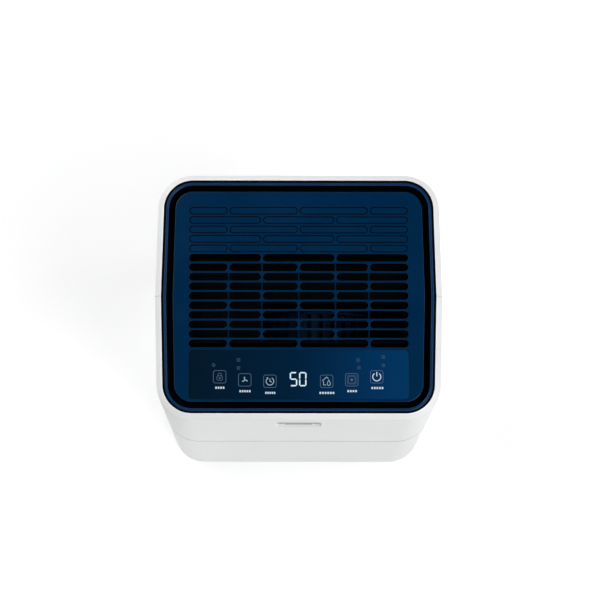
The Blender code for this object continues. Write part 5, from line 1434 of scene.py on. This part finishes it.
def screw(number):
    """A pan-head screw: a revolved head and shank, with a cross recess cut by two tapered bars."""
    low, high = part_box(f"casing_screw_{number}")
    centre = centre_of((low, high))
    r = (high.x - low.x) / 2
    y0, y1 = low.y, high.y
    outline = [(0.2 * MM, y0), (1.6 * MM, y0 + 1 * MM), (1.9 * MM, y1 - 2.4 * MM), (r, y1 - 2.2 * MM)]
    outline += [(r, y1 - 0.9 * MM), (r * 0.55, y1), (0.2 * MM, y1)]
    radii = [v * MM for v in (0, 0.3, 0.2, 0.3, 0.8, 0.5, 0)]
    head = solid_lathe(f"screw_{number}", rounded(outline, radii, 4), centre, steps=40)
    for turn in (0, math.pi / 2):
        bars = []
        for half, wide, y in ((0.7 * MM, 0.25 * MM, y1 - 1.6 * MM), (2.0 * MM, 0.45 * MM, y1 + 0.1 * MM)):
            corner = np.array([(-half, -wide), (half, -wide), (half, wide), (-half, wide)])
            spin = np.array([[math.cos(turn), math.sin(turn)], [-math.sin(turn), math.cos(turn)]])
            flat = corner @ spin + np.array(centre)
            bars.append(standing(flat, y))
        boolean(head, stack("bar", np.array(bars)))
    return head


for number in (1, 2, 3, 4):
    finish_piece(settle(screw(number)), zinc_steel, "housing", "steel", f"casing_screw_{number}")

# %% [markdown]
# ## Castors
# Four small swivelling castors stand in pockets under the base, with only their treads below it. The wheel is a
# soft tread on a hub: its shoulders are round and its sides dished.


# %% Castor wheels
def castor_wheel(number):
    """A section of tread, shoulder, dished side and hub, carried round the axle."""
    low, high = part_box(f"castor_wheel_{number}")
    centre = ((low.y + high.y) / 2, (low.z + high.z) / 2)
    r = (high.z - low.z) / 2
    x0, x1 = low.x, high.x
    half = [(2.3 * MM, x1 - 0.2 * MM), (4.5 * MM, x1 - 0.2 * MM), (5.2 * MM, x1 - 1.8 * MM)]
    half += [(r - 3.2 * MM, x1 - 1.8 * MM), (r - 2.4 * MM, x1), (r, x1)]
    other = [(a, x0 + x1 - b) for a, b in reversed(half)]
    radii = [0.2, 0.4, 0.6, 0.6, 0.5, 2.4]
    rows = rounded(half + other, [v * MM for v in radii + radii[::-1]], 4, True)
    return lathe(f"tread_{number}", rows, centre, "X")


for number in (1, 2, 3, 4):
    finish_piece(settle(castor_wheel(number)), tyre_pu, f"wheel_{number}", "black_plastic", f"castor_wheel_{number}")

# %% [markdown]
# ## Water tank
# Behind the tank's face sit the bucket, its lid with a filling hole, a bail handle and a float. The bucket
# is translucent, with round corners everywhere, as a blow or injection mould gives.

# %% Bucket
tank_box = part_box("tank_bucket")
TANK_INSET = WALL + 0.3 * MM
TANK_REAR = -tank_box[1].y


def bucket_outline(inset, radius=8 * MM, steps=8):
    """Outline of the bucket, moved inwards: half of the case's outline, closed at the rear by two round corners."""
    r = max(radius - inset, 0.5 * MM)
    front = half_outline(TANK_INSET + inset, TANK_REAR + inset + r, False)[0]
    y = -TANK_REAR - inset
    x = front[0, 0]
    a = np.linspace(0, math.pi / 2, steps + 1)[1:]
    left = np.stack([-x + r - r * np.cos(a), y - r + r * np.sin(a)], 1)
    right = left[::-1] * np.array([-1, 1.0])
    return np.concatenate([front, left, right])


def bucket():
    """Loops from the middle of the underside out, up the wall, over the rim and down the inside to the floor."""
    low, high = tank_box
    wall = 2.5 * MM
    corners = [(30 * MM, low.z), (0, low.z), (0, high.z)]
    corners += [(wall, high.z), (wall, low.z + wall), (30 * MM, low.z + wall)]
    rows = rounded(corners, [0, 7 * MM, 0.8 * MM, 0.8 * MM, 5 * MM, 0], 6)
    loops = [at_height(bucket_outline(i), z) for i, z in rows]
    return stack("bucket", np.array(loops))


finish_piece(settle(bucket()), smoke_san, "tank", "smoke_plastic", "tank_bucket")

# %% [markdown]
# ## Tank lid
# The lid is a thin plate with a hole where the water drips in. Its lugs are stacks of outlines joined on, and one
# long bore goes through each pair, so the pins line up.

# %% Lid
BAIL_PIVOT, FLOAT_PIVOT = (-92 * MM, 281 * MM), (-26 * MM, 260 * MM)


def lid():
    """A plate with a round hole, and four lugs: two above it for the bail and two below for the float's pin."""
    z0 = tank_box[1].z + 0.3 * MM
    z1 = z0 + 3.5 * MM
    edge = edge_rows(z1, 0.9 * MM, 4) + [(0, z0 + 0.4 * MM), (-0.4 * MM, z0)]
    rim = edge_rows(z1, 0.9 * MM, 4, -1) + [(0, z0 + 0.4 * MM), (0.4 * MM, z0)]
    hole = lambda g: circle(85 * MM, -40 * MM, 12 * MM, g, 48)
    plate = holed_plate("lid", lambda g: bucket_outline(-g), edge, [(hole, rim)])
    lugs = [(side * 77 * MM, side * 83 * MM, -97 * MM, -87 * MM, z1 - 1 * MM, 285.5 * MM) for side in (-1, 1)]
    for side in (-1, 1):
        x0, x1 = -90 * MM + side * 20 * MM, -90 * MM + side * 23 * MM
        lugs.append((x0, x1, -31 * MM, -21 * MM, 255 * MM, z0 + 1 * MM))
    for x0, x1, y0, y1, b, t in lugs:
        x0, x1 = sorted((x0, x1))
        loops = [rounded_box(y0, b, y1, t, 3 * MM, g, 5) for g in (-0.4 * MM, 0, 0, -0.4 * MM)]
        xs = (x0, x0 + 0.4 * MM, x1 - 0.4 * MM, x1)
        lug = np.array([np.column_stack([np.full(len(line), x), line]) for line, x in zip(loops, xs)])
        boolean(plate, stack("lug", lug), "UNION")
    boolean(plate, solid_lathe("bore", in_mm((2.4, -90), (2.4, 90)), BAIL_PIVOT, "X", 24))
    boolean(plate, solid_lathe("bore", in_mm((2.4, -116), (2.4, -64)), FLOAT_PIVOT, "X", 24))
    return plate


finish_piece(settle(lid()), smoke_san, "tank", "smoke_plastic", "tank_lid")

# %% [markdown]
# ## Bail handle
# The bail folds flat on the lid and swings up to carry the tank. A curve with a bevel would make it, but an
# oval section swept by hand can also grow thicker where the palm holds it.

# %% Bail handle
def bail():
    """An oval section carried along the bail's path: slim on the arms, round and thick across the grip."""
    low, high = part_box("tank_handle")
    y_bar = low.y + 4.2 * MM
    corners = [(-73 * MM, -88 * MM), (-73 * MM, y_bar), (73 * MM, y_bar), (73 * MM, -88 * MM)]
    path = rounded(corners, [0, 9 * MM, 9 * MM, 0], 10)
    split = lambda p, q: np.linspace(p, q, 8)[:-1] if np.linalg.norm(q - p) > 20 * MM else [p]
    fine = np.concatenate([split(p, q) for p, q in zip(path[:-1], path[1:])] + [path[-1:]])
    ahead = np.gradient(fine, axis=0)
    ahead /= np.linalg.norm(ahead, axis=1)[:, None]
    side = np.stack([-ahead[:, 1], ahead[:, 0]], 1)
    grip = np.clip((75 * MM - np.abs(fine[:, 0])) / (14 * MM), 0, 1)
    grip = grip * grip * (3 - 2 * grip)
    wide, tall = (2.0 + 2.2 * grip) * MM, (3.0 + 1.2 * grip) * MM
    a = (np.arange(24) * 2 * math.pi / 24)[:, None]
    c, s = np.sign(np.cos(a)) * np.abs(np.cos(a)) ** 0.8, np.sign(np.sin(a)) * np.abs(np.sin(a)) ** 0.8
    flat = fine[None] + side[None] * (c * wide)[:, :, None]
    z = BAIL_PIVOT[1] + s * tall
    made = swept("bail", np.dstack([flat, z]))
    for sign in (-1, 1):
        rows = [(2.0 * MM, sign * 72 * MM), (2.0 * MM, sign * 81.6 * MM), (1.6 * MM, sign * 82 * MM)]
        boolean(made, solid_lathe("pin", rows, BAIL_PIVOT, "X", 24), "UNION")
    return made


finish_piece(settle(bail()), black_abs, "handle", "black_plastic", "tank_handle")

# %% [markdown]
# ## Finishes of the parts inside
# The rest of the frame's parts have the right shape already, and each gets the finish of what it is made
# of: zinc-plated sheet for the chassis, enamel on the compressor and motor, fins on the two coils.


# %% Finishes on frame parts
def dress(material, *names):
    """Puts a finish on frame parts that stay as they are."""
    for name in names:
        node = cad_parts[name]
        node.data.materials.clear()
        node.data.materials.append(material)
    print(material.name, "on", ", ".join(names))


dress(zinc_steel, "chassis_deck", "tank_bay_wall", "fan_shaft", "fan_nut")
dress(zinc_steel, *[f"castor_fork_{i}" for i in (1, 2, 3, 4)])
dress(black_abs, "drip_tray", "electrical_box", "filter_frame", "drain_socket", "tank_float", "display_module")
dress(blue_black_and_painted_shade, "top_deck", "outlet_plenum", "blower_scroll")
dress(blue_pc, "outlet_guard")
guard_low, guard_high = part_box("outlet_guard")


def guard_frame(x, y, z):
    """The guard's border, 7 mm wide at the sides and 9 mm at the front and rear."""
    sides = abs(x) > guard_high.x - 7 * MM
    return sides | (y > guard_high.y - 9 * MM) | (y < guard_low.y + 9 * MM)


refinish(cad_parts["outlet_guard"], blue_black_and_painted_shade, guard_frame)
dress(white_abs, "humidity_sensor", "level_switch")
dress(enamel_black, "compressor", "fan_motor")
dress(aluminium_fins, "evaporator_coil", "condenser_coil")
dress(aluminium_can, "run_capacitor")
dress(copper_tube, "filter_drier", "suction_line", "discharge_line", "liquid_line")
dress(rubber_black, "compressor_grommet_1", "compressor_grommet_2", "compressor_grommet_3")
dress(board_mask, "control_board")
dress(gauze_pp, "filter_mesh")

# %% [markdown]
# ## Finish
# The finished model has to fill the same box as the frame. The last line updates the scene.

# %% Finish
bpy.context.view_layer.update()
